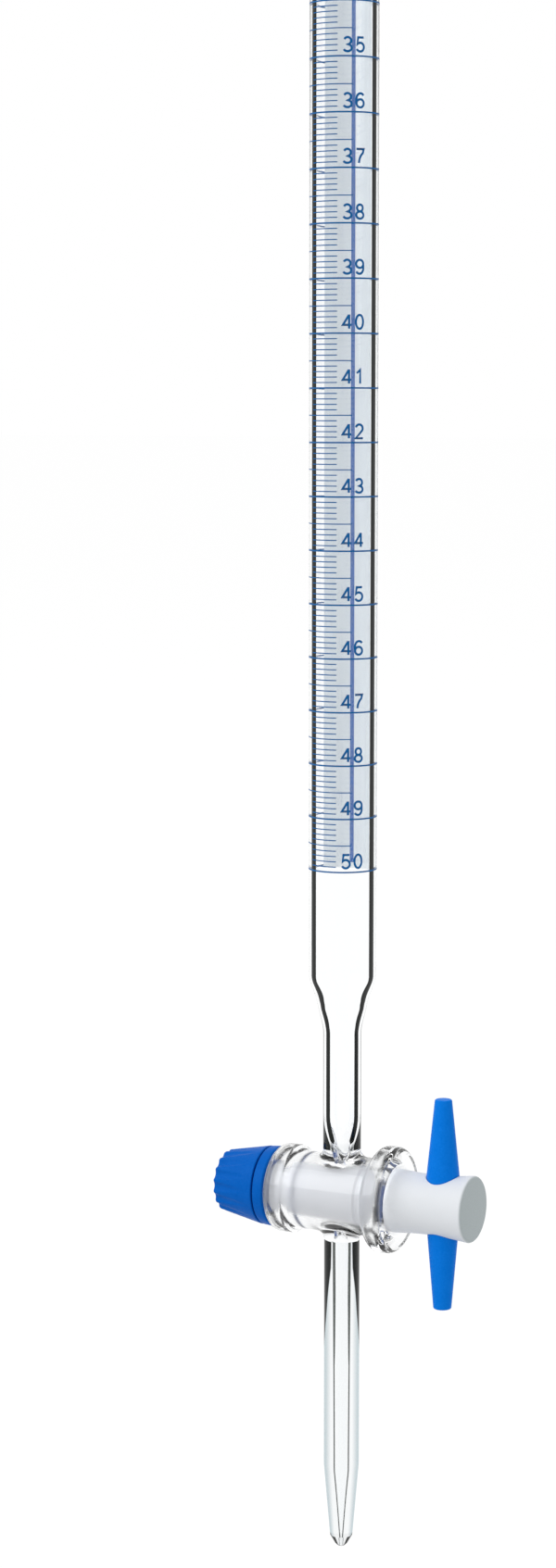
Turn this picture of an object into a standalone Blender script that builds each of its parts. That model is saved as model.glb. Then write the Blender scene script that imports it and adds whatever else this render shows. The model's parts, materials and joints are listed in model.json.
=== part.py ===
"""Glass burette, 50 ml, with a white PTFE key and a blue handle and nut.

Units are metres, +Z is up along the tube. The origin is on the tube's axis, where a burette
clamp grips the plain glass above the scale. The tap's axis is parallel to X, head at +X.
"""
import math

import bpy
from mathutils import Matrix, Vector

MM = 0.001

# Graduated tube
TUBE_BORE = 11.0 * MM
TUBE_WALL = 1.25 * MM
CAPACITY_ML = 50
ZERO_BELOW_CLAMP = 80.0 * MM
ZERO_BELOW_RIM = 113.0 * MM
SCALE_TO_SHOULDER = 21.3 * MM

# Rim bead at the top of the tube
RIM_OVERHANG = 2.25 * MM
RIM_HEIGHT = 3.6 * MM
RIM_BELLY_DEPTH = 1.6 * MM
RIM_BELLY_ROUND = 0.95 * MM
RIM_LAND = 1.4 * MM
RIM_LAND_ROUND = 0.8 * MM
RIM_MOUTH_FLARE = 0.7 * MM
RIM_MOUTH_KNEE = 0.35
RIM_STEP = 0.4 * MM

# Shoulder and neck, from the tube down to the tap
SHOULDER_LENGTH = 16.0 * MM
SEAL_BELOW_SHOULDER = 7.2 * MM
NECK_DIAMETER = 7.6 * MM
NECK_BORE = 4.9 * MM
NECK_THROAT = 3.2 * MM
NECK_STRAIGHT = 1.0 * MM
NECK_CONE = 18.8 * MM
ARM_FLARE = 1.2 * MM

# Stopcock barrel
BARREL_DIAMETER = 15.7 * MM
BARREL_HEAD_REACH = 12.6 * MM
BARREL_NUT_REACH = 13.8 * MM
HEAD_FLANGE_DIAMETER = 21.3 * MM
HEAD_FLANGE_WIDTH = 3.6 * MM
NUT_FLANGE_DIAMETER = 17.8 * MM
NUT_FLANGE_WIDTH = 4.0 * MM
FLANGE_ROUND = 1.2 * MM
NUT_FLANGE_ROOT_ROUND = 0.6 * MM
MOUTH_CHAMFER = 0.7 * MM
JET_STUB = 3.0 * MM

# Delivery jet
JET_DIAMETER = 7.15 * MM
JET_BORE = 2.6 * MM
JET_LOWER_BORE = 2.0 * MM
JET_LENGTH = 62.15 * MM
JET_TAPER_LENGTH = 17.2 * MM
JET_TIP_DIAMETER = 4.55 * MM
JET_BEVEL_DEPTH = 2.27 * MM
JET_END_DIAMETER = 1.5 * MM
JET_ORIFICE = 0.6 * MM
JET_BORE_LAG = 1.8 * MM
JET_SHOULDER_ROUND = 12.0 * MM
JET_BEVEL_ROUND = 0.3 * MM
JET_KNEE_OUT = 0.45 * MM
JET_KNEE_UP = 0.45 * MM
JET_LIP_ROUND = 0.6 * MM

# PTFE key
KEY_LARGE_DIAMETER = 12.7 * MM
KEY_TAPER = 1.0 / 10.0
KEY_CLEARANCE = 0.2 * MM
KEY_END_INSET = 0.5 * MM
CROSS_BORE = 2.0 * MM
GROOVE_OFFSET = 6.6 * MM
GROOVE_WIDTH = 2.2 * MM
GROOVE_DEPTH = 0.4 * MM
HEAD_LENGTH = 16.4 * MM
HEAD_END_DIAMETER = 13.4 * MM
HEAD_WAIST = 0.55 * MM
HEAD_EDGE_ROUND = 0.5 * MM
STUB_DIAMETER = 8.4 * MM
STUB_FLAT_DEPTH = 0.9 * MM
THREAD_DIAMETER = 7.2 * MM
THREAD_END_CHAMFER = 0.6 * MM

# Handle bar through the head
HANDLE_FROM_HEAD_END = 6.7 * MM
HANDLE_UPPER_REACH = 21.5 * MM
HANDLE_LOWER_REACH = 20.8 * MM
HANDLE_UPPER_ROOT = 6.6 * MM
HANDLE_LOWER_ROOT = 6.1 * MM
HANDLE_UPPER_END = 3.4 * MM
HANDLE_LOWER_END = 3.6 * MM
HANDLE_CLEARANCE = 0.15 * MM
HANDLE_END_ROUND = 0.25 * MM

# Thrust ring, seal and nut
FACE_GAP = 0.3 * MM
FIT_CLEARANCE = 0.25 * MM
RING_WIDTH = 2.2 * MM
RING_DIAMETER = 16.4 * MM
RING_TAPER = 0.2 * MM
RING_EDGE_ROUND = 0.2 * MM
SEAM_GAP = 0.4 * MM
SEAL_CORD = 1.7 * MM
NUT_LENGTH = 9.6 * MM
NUT_LARGE_DIAMETER = 16.0 * MM
NUT_SMALL_DIAMETER = 11.9 * MM
NUT_EDGE_ROUND = 0.3 * MM
NUT_OVER_THREAD = 0.8 * MM
FLUTE_COUNT = 16
FLUTE_WIDTH = 1.6 * MM
FLUTE_DEPTH = 0.65 * MM
FLUTE_SHARE = 0.82

# Facets
TUBE_FACETS = 36
TAP_FACETS = 40
SMALL_FACETS = 28
SEAL_SIDES = 10
FLUTE_SIDES = 12
FILLET_STEPS = 3
CUT_MARGIN = 3.0 * MM
SHARP_EDGE = math.radians(35)

# Places that follow from the sizes
TUBE_RADIUS = TUBE_BORE / 2 + TUBE_WALL
ML_PITCH = 1e-6 / (math.pi * (TUBE_BORE / 2) ** 2)
SCALE_LENGTH = CAPACITY_ML * ML_PITCH
ZERO_Z = -ZERO_BELOW_CLAMP
RIM_Z = ZERO_Z + ZERO_BELOW_RIM
SHOULDER_Z = ZERO_Z - SCALE_LENGTH - SCALE_TO_SHOULDER
SEAL_Z = SHOULDER_Z - SEAL_BELOW_SHOULDER
NECK_Z = SHOULDER_Z - SHOULDER_LENGTH
TAP_Z = NECK_Z - NECK_STRAIGHT - NECK_CONE - BARREL_DIAMETER / 2 - ARM_FLARE
JET_SEAL_DROP = BARREL_DIAMETER / 2 + JET_STUB
KEY_END_X = -(BARREL_NUT_REACH - KEY_END_INSET)
HEAD_END_X = BARREL_HEAD_REACH + HEAD_LENGTH
HANDLE_X = HEAD_END_X - HANDLE_FROM_HEAD_END
RING_X = -(BARREL_NUT_REACH + FACE_GAP)
NUT_X = RING_X - RING_WIDTH - SEAM_GAP
NUT_END_X = NUT_X - NUT_LENGTH
THREAD_END_X = NUT_END_X + NUT_OVER_THREAD
SEAL_BORE = THREAD_DIAMETER + 2 * FIT_CLEARANCE
SEAL_RADIUS = (SEAL_BORE + SEAL_CORD) / 2
SEAL_X = RING_X - RING_WIDTH - FACE_GAP - SEAL_CORD / 2
POCKET_X = SEAL_X - SEAL_CORD / 2 - FIT_CLEARANCE
POCKET_RADIUS = SEAL_RADIUS + SEAL_CORD / 2 + FIT_CLEARANCE


def clear_scene():
    for old in list(bpy.data.objects):
        bpy.data.objects.remove(old, do_unlink=True)


def new_collection(name):
    collection = bpy.data.collections.new(name)
    bpy.context.scene.collection.children.link(collection)
    return collection


clear_scene()
PARTS = new_collection("glass_burette")
CUTTERS = new_collection("cutters")


# Materials


def principled(name, colour, roughness, transmission=0.0, ior=1.45):
    material = bpy.data.materials.new(name)
    material.use_nodes = True
    shader = material.node_tree.nodes["Principled BSDF"]
    shader.inputs["Base Color"].default_value = (*colour, 1.0)
    shader.inputs["Roughness"].default_value = roughness
    shader.inputs["Metallic"].default_value = 0.0
    shader.inputs["Transmission Weight"].default_value = transmission
    shader.inputs["IOR"].default_value = ior
    material.diffuse_color = (*colour, 1.0)
    return material


def clear_glass(name):
    return principled(name, (0.96, 0.98, 0.98), 0.02, transmission=1.0, ior=1.47)


def white_ptfe(name):
    return principled(name, (0.84, 0.86, 0.90), 0.45, ior=1.35)


def blue_plastic(name):
    return principled(name, (0.0, 0.13, 0.60), 0.32, ior=1.49)


def black_rubber(name):
    return principled(name, (0.02, 0.02, 0.02), 0.6, ior=1.52)


# Profiles: lists of (radius, height) that run down the outer side, top to bottom


def smoothstep(share):
    share = min(max(share, 0.0), 1.0)
    return share * share * (3.0 - 2.0 * share)


def filleted(corners, steps=FILLET_STEPS):
    """Outline through (radius, height, fillet) corners, with each fillet as an arc.

    The first and the last corner have no fillet.
    """
    outline = []
    for index, (radius, height, fillet) in enumerate(corners):
        corner = Vector((radius, height))
        if fillet <= 0.0:
            outline.append((radius, height))
            continue
        before = Vector(corners[index - 1][:2]) - corner
        after = Vector(corners[index + 1][:2]) - corner
        before.normalize()
        after.normalize()
        half = math.acos(max(-1.0, min(1.0, before.dot(after)))) / 2
        middle = corner + (before + after).normalized() * fillet / math.sin(half)
        first = corner + before * fillet / math.tan(half) - middle
        last = corner + after * fillet / math.tan(half) - middle
        sweep = math.atan2(first.x * last.y - first.y * last.x, first.dot(last))
        for step in range(steps + 1):
            turned_point = middle + Matrix.Rotation(sweep * step / steps, 2) @ first
            outline.append((turned_point.x, turned_point.y))
    return outline


def sampled(radius_at, top, bottom, steps):
    """Points of the curve radius_at(height), evenly spaced from top down to bottom."""
    heights = [top + (bottom - top) * step / steps for step in range(steps + 1)]
    return [(radius_at(height), height) for height in heights]


# Makers


def place(obj, collection, material=None):
    collection.objects.link(obj)
    if material is not None:
        obj.data.materials.append(material)
    if collection is CUTTERS:
        obj.hide_render = True
        obj.display_type = "WIRE"
    return obj


def turned(name, outline, facets, collection, material=None, closed=False):
    """Turn an outline about local Z. A closed outline makes a ring or a tube."""
    mesh = bpy.data.meshes.new(name)
    points = [(radius, 0.0, height) for radius, height in outline]
    edges = [(index, index + 1) for index in range(len(points) - 1)]
    if closed:
        edges.append((len(points) - 1, 0))
    mesh.from_pydata(points, edges, [])
    obj = place(bpy.data.objects.new(name, mesh), collection, material)
    screw = obj.modifiers.new("turn", "SCREW")
    screw.axis = "Z"
    screw.steps = facets
    screw.render_steps = facets
    screw.use_merge_vertices = True
    screw.merge_threshold = 0.000001
    screw.use_smooth_shade = True
    return obj


def boolean(obj, other, operation):
    modifier = obj.modifiers.new(operation.lower(), "BOOLEAN")
    modifier.operation = operation
    modifier.solver = "EXACT"
    modifier.object = other


def settle(obj):
    """Make the modifiers' result the piece's own mesh, smooth on round faces, sharp at edges."""
    bpy.context.view_layer.update()
    evaluated = obj.evaluated_get(bpy.context.evaluated_depsgraph_get())
    mesh = bpy.data.meshes.new_from_object(evaluated)
    obj.modifiers.clear()
    obj.data = mesh
    mesh.shade_smooth()
    mesh.set_sharp_from_angle(angle=SHARP_EDGE)


def lay_along_x(obj):
    """Turn an object so that its local +Z points along the tap's axis, towards the head."""
    obj.rotation_euler = (0.0, math.pi / 2, 0.0)


def block_cutter(name, centre, size):
    bpy.ops.mesh.primitive_cube_add(size=1.0, location=centre)
    cube = bpy.context.active_object
    cube.name = name
    for owner in list(cube.users_collection):
        owner.objects.unlink(cube)
    cube.scale = size
    return place(cube, CUTTERS)


# Axes: empties that carry the tap's pieces


def axis_empty(name, location):
    empty = bpy.data.objects.new(name, None)
    empty.empty_display_size = 10 * MM
    empty.location = location
    PARTS.objects.link(empty)
    return empty


TAP_AXIS = axis_empty("tap_axis", (0.0, 0.0, TAP_Z))


def on_tap(obj, x=0.0):
    obj.parent = TAP_AXIS
    obj.location = (x, 0.0, 0.0)
    return obj


# Shoulder: one smooth curve, shared by the tube above the flame seal and the neck below it


def shoulder_outer(height):
    share = smoothstep((SHOULDER_Z - height) / SHOULDER_LENGTH)
    return TUBE_RADIUS + (NECK_DIAMETER / 2 - TUBE_RADIUS) * share


def shoulder_inner(height):
    share = smoothstep((SHOULDER_Z - height) / SHOULDER_LENGTH)
    return TUBE_BORE / 2 + (NECK_BORE / 2 - TUBE_BORE / 2) * share


# Graduated tube with its rim


def rim_outside():
    """The bead from its flat land, round its belly, to the step on the tube."""
    belly = TUBE_RADIUS + RIM_OVERHANG
    mouth = TUBE_BORE / 2 + RIM_MOUTH_FLARE
    corners = [
        (mouth, RIM_Z, 0.0),
        (mouth + RIM_LAND, RIM_Z, RIM_LAND_ROUND),
        (belly, RIM_Z - RIM_BELLY_DEPTH, RIM_BELLY_ROUND),
        (TUBE_RADIUS + RIM_STEP, RIM_Z - RIM_HEIGHT, 0.0),
        (TUBE_RADIUS, RIM_Z - RIM_HEIGHT - RIM_STEP, 0.0),
    ]
    return filleted(corners, steps=4)


def graduated_tube(glass):
    outside = rim_outside() + sampled(shoulder_outer, SHOULDER_Z, SEAL_Z, 5)
    inside = sampled(shoulder_inner, SEAL_Z, SHOULDER_Z, 5)
    inside.append((TUBE_BORE / 2, RIM_Z - RIM_HEIGHT))
    inside.append((TUBE_BORE / 2 + RIM_MOUTH_FLARE * RIM_MOUTH_KNEE, RIM_Z - RIM_HEIGHT * RIM_MOUTH_KNEE))
    return turned("graduated_tube", outside + inside, TUBE_FACETS, PARTS, glass, closed=True)


# Stopcock barrel, with the neck above it and the stub for the jet below it


def barrel_outline():
    """Outside of the barrel and its two flanges, from the head's side to the nut's."""
    barrel = BARREL_DIAMETER / 2
    head_flange = HEAD_FLANGE_DIAMETER / 2
    nut_flange = NUT_FLANGE_DIAMETER / 2
    head_root = BARREL_HEAD_REACH - HEAD_FLANGE_WIDTH
    nut_root = -BARREL_NUT_REACH + NUT_FLANGE_WIDTH
    corners = [
        (0.0, BARREL_HEAD_REACH, 0.0),
        (head_flange, BARREL_HEAD_REACH, FLANGE_ROUND),
        (head_flange, head_root, FLANGE_ROUND),
        (barrel, head_root - FLANGE_ROUND, FLANGE_ROUND),
        (barrel, nut_root + FLANGE_ROUND, FLANGE_ROUND),
        (nut_flange, nut_root, NUT_FLANGE_ROOT_ROUND),
        (nut_flange, -BARREL_NUT_REACH, FLANGE_ROUND),
        (0.0, -BARREL_NUT_REACH, 0.0),
    ]
    return filleted(corners)


def bore_radius(x):
    """Radius of the key's seat in the barrel, a cone along the tap's axis."""
    return (KEY_LARGE_DIAMETER - (BARREL_HEAD_REACH - x) * KEY_TAPER) / 2 + KEY_CLEARANCE


def seat_cutter():
    head_out = BARREL_HEAD_REACH + CUT_MARGIN
    nut_out = -BARREL_NUT_REACH - CUT_MARGIN
    mouth = bore_radius(BARREL_HEAD_REACH) + MOUTH_CHAMFER
    outline = [
        (0.0, head_out),
        (mouth + CUT_MARGIN, head_out),
        (mouth, BARREL_HEAD_REACH),
        (bore_radius(BARREL_HEAD_REACH - MOUTH_CHAMFER), BARREL_HEAD_REACH - MOUTH_CHAMFER),
        (bore_radius(nut_out), nut_out),
        (0.0, nut_out),
    ]
    cutter = turned("key_seat_cutter", outline, TAP_FACETS, CUTTERS)
    lay_along_x(cutter)
    return on_tap(cutter)


def neck_outline():
    """Solid neck, in heights above the tap's axis, from the flame seal into the barrel."""
    wall_middle = (BARREL_DIAMETER / 2 + bore_radius(0.0)) / 2
    flare_top = BARREL_DIAMETER / 2 + ARM_FLARE
    outside = [(0.0, SEAL_Z - TAP_Z)]
    curve = sampled(shoulder_outer, SEAL_Z, NECK_Z, 6)
    outside += [(radius, height - TAP_Z) for radius, height in curve]
    corners = [
        (NECK_DIAMETER / 2, flare_top + ARM_FLARE, 0.0),
        (NECK_DIAMETER / 2, flare_top, ARM_FLARE),
        (NECK_DIAMETER / 2 + ARM_FLARE, wall_middle, 0.0),
        (0.0, wall_middle, 0.0),
    ]
    return outside + filleted(corners)


def neck_bore_cutter():
    """Bore of the neck, narrowing to the throat over the barrel's side hole."""
    throat_top = BARREL_DIAMETER / 2
    cone_top = throat_top + ARM_FLARE + NECK_CONE
    outline = [(0.0, SEAL_Z - TAP_Z + CUT_MARGIN)]
    outline.append((shoulder_inner(SEAL_Z), SEAL_Z - TAP_Z + CUT_MARGIN))
    curve = sampled(shoulder_inner, SEAL_Z, NECK_Z, 6)
    outline += [(radius, height - TAP_Z) for radius, height in curve]
    outline += [
        (NECK_BORE / 2, cone_top),
        (NECK_THROAT / 2, throat_top),
        (CROSS_BORE / 2, throat_top - ARM_FLARE),
        (CROSS_BORE / 2, CROSS_BORE),
        (0.0, CROSS_BORE),
    ]
    return on_tap(turned("neck_bore_cutter", outline, SMALL_FACETS, CUTTERS))


def stub_outline():
    """Solid stub under the barrel, down to the jet's flame seal."""
    wall_middle = (BARREL_DIAMETER / 2 + bore_radius(0.0)) / 2
    corners = [
        (0.0, -wall_middle, 0.0),
        (JET_DIAMETER / 2 + ARM_FLARE, -wall_middle, 0.0),
        (JET_DIAMETER / 2, -BARREL_DIAMETER / 2 - ARM_FLARE, ARM_FLARE),
        (JET_DIAMETER / 2, -JET_SEAL_DROP, 0.0),
        (0.0, -JET_SEAL_DROP, 0.0),
    ]
    return filleted(corners)


def stub_bore_cutter():
    """Bore of the stub, turned half a facet so that its corners miss those of the stub."""
    outline = [
        (0.0, -CROSS_BORE),
        (CROSS_BORE / 2, -CROSS_BORE),
        (CROSS_BORE / 2, -BARREL_DIAMETER / 2),
        (JET_BORE / 2, -BARREL_DIAMETER / 2 - ARM_FLARE),
        (JET_BORE / 2, -JET_SEAL_DROP - CUT_MARGIN),
        (0.0, -JET_SEAL_DROP - CUT_MARGIN),
    ]
    cutter = on_tap(turned("stub_bore_cutter", outline, SMALL_FACETS, CUTTERS))
    cutter.rotation_euler.z = math.pi / SMALL_FACETS
    return cutter


def stopcock_barrel(glass):
    barrel = turned("stopcock_barrel", barrel_outline(), TAP_FACETS, PARTS, glass)
    lay_along_x(barrel)
    on_tap(barrel)
    neck = on_tap(turned("neck_solid", neck_outline(), TUBE_FACETS, CUTTERS))
    stub = on_tap(turned("stub_solid", stub_outline(), SMALL_FACETS, CUTTERS))
    boolean(barrel, neck, "UNION")
    boolean(barrel, stub, "UNION")
    boolean(barrel, neck_bore_cutter(), "DIFFERENCE")
    boolean(barrel, stub_bore_cutter(), "DIFFERENCE")
    boolean(barrel, seat_cutter(), "DIFFERENCE")
    return barrel


# Delivery jet, in heights below the flame seal under the barrel


def delivery_jet(glass):
    tip = -JET_LENGTH
    taper_top = tip + JET_TAPER_LENGTH
    bevel_top = tip + JET_BEVEL_DEPTH
    lip = JET_END_DIAMETER / 2
    orifice = JET_ORIFICE / 2
    outside = filleted([
        (JET_DIAMETER / 2, 0.0, 0.0),
        (JET_DIAMETER / 2, taper_top, JET_SHOULDER_ROUND),
        (JET_TIP_DIAMETER / 2, bevel_top, JET_BEVEL_ROUND),
        (lip + JET_KNEE_OUT, tip + JET_KNEE_UP, JET_LIP_ROUND),
        (lip, tip, 0.0),
    ])
    inside = [
        (orifice, tip),
        (orifice, bevel_top),
        (JET_LOWER_BORE / 2, taper_top - JET_BORE_LAG),
        (JET_BORE / 2, 0.0),
    ]
    jet = turned("delivery_jet", outside + inside, SMALL_FACETS, PARTS, glass, closed=True)
    jet.location = (0.0, 0.0, TAP_Z - JET_SEAL_DROP)
    return jet


# PTFE key, in places along the tap's axis


def key_radius(x):
    return bore_radius(x) - KEY_CLEARANCE


def head_radius(x):
    """Waisted head: a straight line from the barrel's mouth to the end, less a sine bow."""
    share = (x - BARREL_HEAD_REACH) / HEAD_LENGTH
    mouth = KEY_LARGE_DIAMETER / 2
    line = mouth + (HEAD_END_DIAMETER / 2 - mouth) * share
    return line - HEAD_WAIST * math.sin(math.pi * share)


def key_outline():
    edge = HEAD_END_X - HEAD_EDGE_ROUND
    groove_head = GROOVE_OFFSET + GROOVE_WIDTH / 2
    groove_nut = GROOVE_OFFSET - GROOVE_WIDTH / 2
    rounded_end = filleted([
        (0.0, HEAD_END_X, 0.0),
        (HEAD_END_DIAMETER / 2, HEAD_END_X, HEAD_EDGE_ROUND),
        (head_radius(edge), edge - HEAD_EDGE_ROUND, 0.0),
    ])
    outline = rounded_end + sampled(head_radius, edge - HEAD_EDGE_ROUND * 3, BARREL_HEAD_REACH, 9)
    outline += [
        (key_radius(groove_head), groove_head),
        (key_radius(groove_head) - GROOVE_DEPTH, groove_head - GROOVE_DEPTH),
        (key_radius(groove_nut) - GROOVE_DEPTH, groove_nut + GROOVE_DEPTH),
        (key_radius(groove_nut), groove_nut),
        (key_radius(KEY_END_X), KEY_END_X),
        (STUB_DIAMETER / 2, KEY_END_X),
        (STUB_DIAMETER / 2, RING_X - RING_WIDTH),
        (THREAD_DIAMETER / 2, RING_X - RING_WIDTH),
        (THREAD_DIAMETER / 2, THREAD_END_X + THREAD_END_CHAMFER),
        (THREAD_DIAMETER / 2 - THREAD_END_CHAMFER, THREAD_END_X),
        (0.0, THREAD_END_X),
    ]
    return outline


def cross_bore_cutter():
    reach = BARREL_DIAMETER / 2 + CUT_MARGIN
    outline = [(0.0, reach), (CROSS_BORE / 2, reach), (CROSS_BORE / 2, -reach), (0.0, -reach)]
    return on_tap(turned("cross_bore_cutter", outline, SMALL_FACETS, CUTTERS))


def flat_cutter(name, lift):
    """Block above the key's flat, lifted for the ring that slides over it."""
    bottom = STUB_DIAMETER / 2 - STUB_FLAT_DEPTH + lift
    width = RING_WIDTH + FACE_GAP + KEY_END_INSET
    middle = KEY_END_X - width / 2
    height = STUB_FLAT_DEPTH + CUT_MARGIN
    centre = (middle, 0.0, TAP_Z + bottom + height / 2)
    return block_cutter(name, centre, (width, STUB_DIAMETER + CUT_MARGIN, height))


def handle_outline(clearance):
    """Bar that is thickest in the head, in heights above the tap's axis."""
    upper_seat = head_radius(HANDLE_X)
    upper = HANDLE_UPPER_REACH
    lower = -HANDLE_LOWER_REACH
    corners = [
        (0.0, upper, 0.0),
        (HANDLE_UPPER_END / 2 + clearance, upper, HANDLE_END_ROUND),
        (HANDLE_UPPER_ROOT / 2 + clearance, upper_seat, 0.0),
        (HANDLE_LOWER_ROOT / 2 + clearance, -upper_seat, 0.0),
        (HANDLE_LOWER_END / 2 + clearance, lower, HANDLE_END_ROUND),
        (0.0, lower, 0.0),
    ]
    return filleted(corners)


def tap_plug(ptfe):
    plug = turned("tap_plug", key_outline(), TAP_FACETS, PARTS, ptfe)
    lay_along_x(plug)
    on_tap(plug)
    handle_hole = turned("handle_hole_cutter", handle_outline(HANDLE_CLEARANCE), SMALL_FACETS, CUTTERS)
    on_tap(handle_hole, HANDLE_X)
    boolean(plug, cross_bore_cutter(), "DIFFERENCE")
    boolean(plug, handle_hole, "DIFFERENCE")
    boolean(plug, flat_cutter("key_flat_cutter", 0.0), "DIFFERENCE")
    return plug


def tap_handle(plastic):
    handle = turned("tap_handle", handle_outline(0.0), SMALL_FACETS, PARTS, plastic)
    return on_tap(handle, HANDLE_X)


# Thrust ring, seal and nut, each in places along its own axis from its head-side face


def thrust_ring(plastic):
    """Smooth collar whose hole has the key's flat, so that it turns with the key."""
    outer = RING_DIAMETER / 2
    corners = [
        (0.0, 0.0, 0.0),
        (outer, 0.0, RING_EDGE_ROUND),
        (outer - RING_TAPER, -RING_WIDTH, RING_EDGE_ROUND),
        (0.0, -RING_WIDTH, 0.0),
    ]
    ring = turned("thrust_ring", filleted(corners), TAP_FACETS, PARTS, plastic)
    lay_along_x(ring)
    on_tap(ring, RING_X)
    hole = STUB_DIAMETER / 2 + FIT_CLEARANCE
    outline = [
        (0.0, CUT_MARGIN),
        (hole, CUT_MARGIN),
        (hole, -RING_WIDTH - CUT_MARGIN),
        (0.0, -RING_WIDTH - CUT_MARGIN),
    ]
    keyhole = turned("ring_hole_cutter", outline, TAP_FACETS, CUTTERS)
    lay_along_x(keyhole)
    on_tap(keyhole, RING_X)
    bottom = STUB_DIAMETER / 2 - STUB_FLAT_DEPTH + FIT_CLEARANCE
    size = (RING_WIDTH + 4 * CUT_MARGIN, 2 * STUB_DIAMETER, STUB_DIAMETER)
    centre = (RING_X - RING_WIDTH / 2, 0.0, TAP_Z + bottom + STUB_DIAMETER / 2)
    boolean(keyhole, block_cutter("ring_flat_cutter", centre, size), "DIFFERENCE")
    boolean(ring, keyhole, "DIFFERENCE")
    return ring


def o_ring(rubber):
    angles = [math.pi / 2 - 2 * math.pi * side / SEAL_SIDES for side in range(SEAL_SIDES)]
    half_cord = SEAL_CORD / 2
    outline = [
        (SEAL_RADIUS + half_cord * math.cos(angle), half_cord * math.sin(angle)) for angle in angles
    ]
    seal = turned("o_ring", outline, SMALL_FACETS, PARTS, rubber, closed=True)
    lay_along_x(seal)
    return on_tap(seal, SEAL_X)


def nut_radius(x):
    """Outside of the nut before its flutes, a cone along its axis from its large face."""
    share = -x / NUT_LENGTH
    return NUT_LARGE_DIAMETER / 2 + (NUT_SMALL_DIAMETER - NUT_LARGE_DIAMETER) / 2 * share


def flute_cutter():
    """Ring of round bars that dip into the nut's small end and fade out before its large face."""
    radius = FLUTE_WIDTH / 2
    fade_x = -NUT_LENGTH * FLUTE_SHARE
    start = Vector((-NUT_LENGTH, 0.0, nut_radius(-NUT_LENGTH) - FLUTE_DEPTH + radius))
    stop = Vector((-NUT_LENGTH - fade_x, 0.0, nut_radius(-NUT_LENGTH - fade_x) + radius))
    direction = (stop - start).normalized()
    length = (stop - start).length + 2 * CUT_MARGIN
    middle = (start + stop) / 2
    tilt = direction.to_track_quat("Z", "Y").to_matrix().to_4x4()
    cutter = None
    for index in range(FLUTE_COUNT):
        turn = Matrix.Rotation(2 * math.pi * (index + 0.5) / FLUTE_COUNT, 4, "X")
        bpy.ops.mesh.primitive_cylinder_add(vertices=FLUTE_SIDES, radius=radius, depth=length)
        bar = bpy.context.active_object
        bar.data.transform(turn @ Matrix.Translation(middle) @ tilt)
        if cutter is None:
            cutter = bar
            continue
        cutter.select_set(True)
        bar.select_set(True)
        bpy.context.view_layer.objects.active = cutter
        bpy.ops.object.join()
    cutter.name = "flute_cutter"
    for owner in list(cutter.users_collection):
        owner.objects.unlink(cutter)
    return on_tap(place(cutter, CUTTERS), NUT_X)


def tap_nut(plastic):
    hole = THREAD_DIAMETER / 2 + FIT_CLEARANCE
    pocket_depth = POCKET_X - NUT_X
    outline = filleted([
        (POCKET_RADIUS, 0.0, 0.0),
        (NUT_LARGE_DIAMETER / 2, 0.0, NUT_EDGE_ROUND),
        (NUT_SMALL_DIAMETER / 2, -NUT_LENGTH, NUT_EDGE_ROUND),
        (hole, -NUT_LENGTH, 0.0),
        (hole, pocket_depth, 0.0),
        (POCKET_RADIUS, pocket_depth, 0.0),
    ])
    nut = turned("tap_nut", outline, TAP_FACETS, PARTS, plastic, closed=True)
    lay_along_x(nut)
    on_tap(nut, NUT_X)
    boolean(nut, flute_cutter(), "DIFFERENCE")
    return nut


def main():
    glass = clear_glass("clear_glass")
    ptfe = white_ptfe("white_ptfe")
    plastic = blue_plastic("blue_plastic")
    rubber = black_rubber("black_rubber")
    pieces = [
        graduated_tube(glass),
        stopcock_barrel(glass),
        delivery_jet(glass),
        tap_plug(ptfe),
        tap_handle(plastic),
        thrust_ring(plastic),
        o_ring(rubber),
        tap_nut(plastic),
    ]
    for piece in pieces:
        settle(piece)


main()
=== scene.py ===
"""Glass burette: glass skin, fused print, PTFE key, blue plastic tap and their stage.

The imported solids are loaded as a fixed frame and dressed. Metres, +Z up along the tube, +X along
the tap's axis towards the key's head. Angles round the tube start at -Y and grow towards +X.
"""

import json
import math

import bmesh
import bpy
import numpy as np
from bpy.props import FloatProperty, FloatVectorProperty, IntProperty, PointerProperty
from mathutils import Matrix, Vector


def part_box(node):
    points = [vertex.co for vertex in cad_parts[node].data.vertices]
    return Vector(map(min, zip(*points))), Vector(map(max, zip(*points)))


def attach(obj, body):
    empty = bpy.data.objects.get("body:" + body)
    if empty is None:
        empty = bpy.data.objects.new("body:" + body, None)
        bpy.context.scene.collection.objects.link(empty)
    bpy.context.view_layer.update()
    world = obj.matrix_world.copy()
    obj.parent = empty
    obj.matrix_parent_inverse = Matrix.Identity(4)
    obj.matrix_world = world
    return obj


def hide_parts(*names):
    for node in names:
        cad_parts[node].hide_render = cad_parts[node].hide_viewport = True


bl_info = {
    "name": "Glass burette",
    "version": (1, 0, 0),
    "blender": (4, 5, 0),
    "location": "3D View > Sidebar > Burette",
    "description": "Dresses the solids of a burette with glass, print, PTFE and blue plastic",
    "category": "Add Mesh",
}

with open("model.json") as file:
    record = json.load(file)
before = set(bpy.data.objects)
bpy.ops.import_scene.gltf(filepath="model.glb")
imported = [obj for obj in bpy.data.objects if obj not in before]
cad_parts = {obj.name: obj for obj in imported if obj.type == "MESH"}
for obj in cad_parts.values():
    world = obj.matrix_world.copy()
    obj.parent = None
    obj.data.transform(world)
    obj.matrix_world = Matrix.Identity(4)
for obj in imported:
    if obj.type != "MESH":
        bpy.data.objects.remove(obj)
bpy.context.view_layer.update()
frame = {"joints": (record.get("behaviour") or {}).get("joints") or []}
MM = 0.001
WHITE = (1.0, 1.0, 1.0, 1.0)

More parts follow.
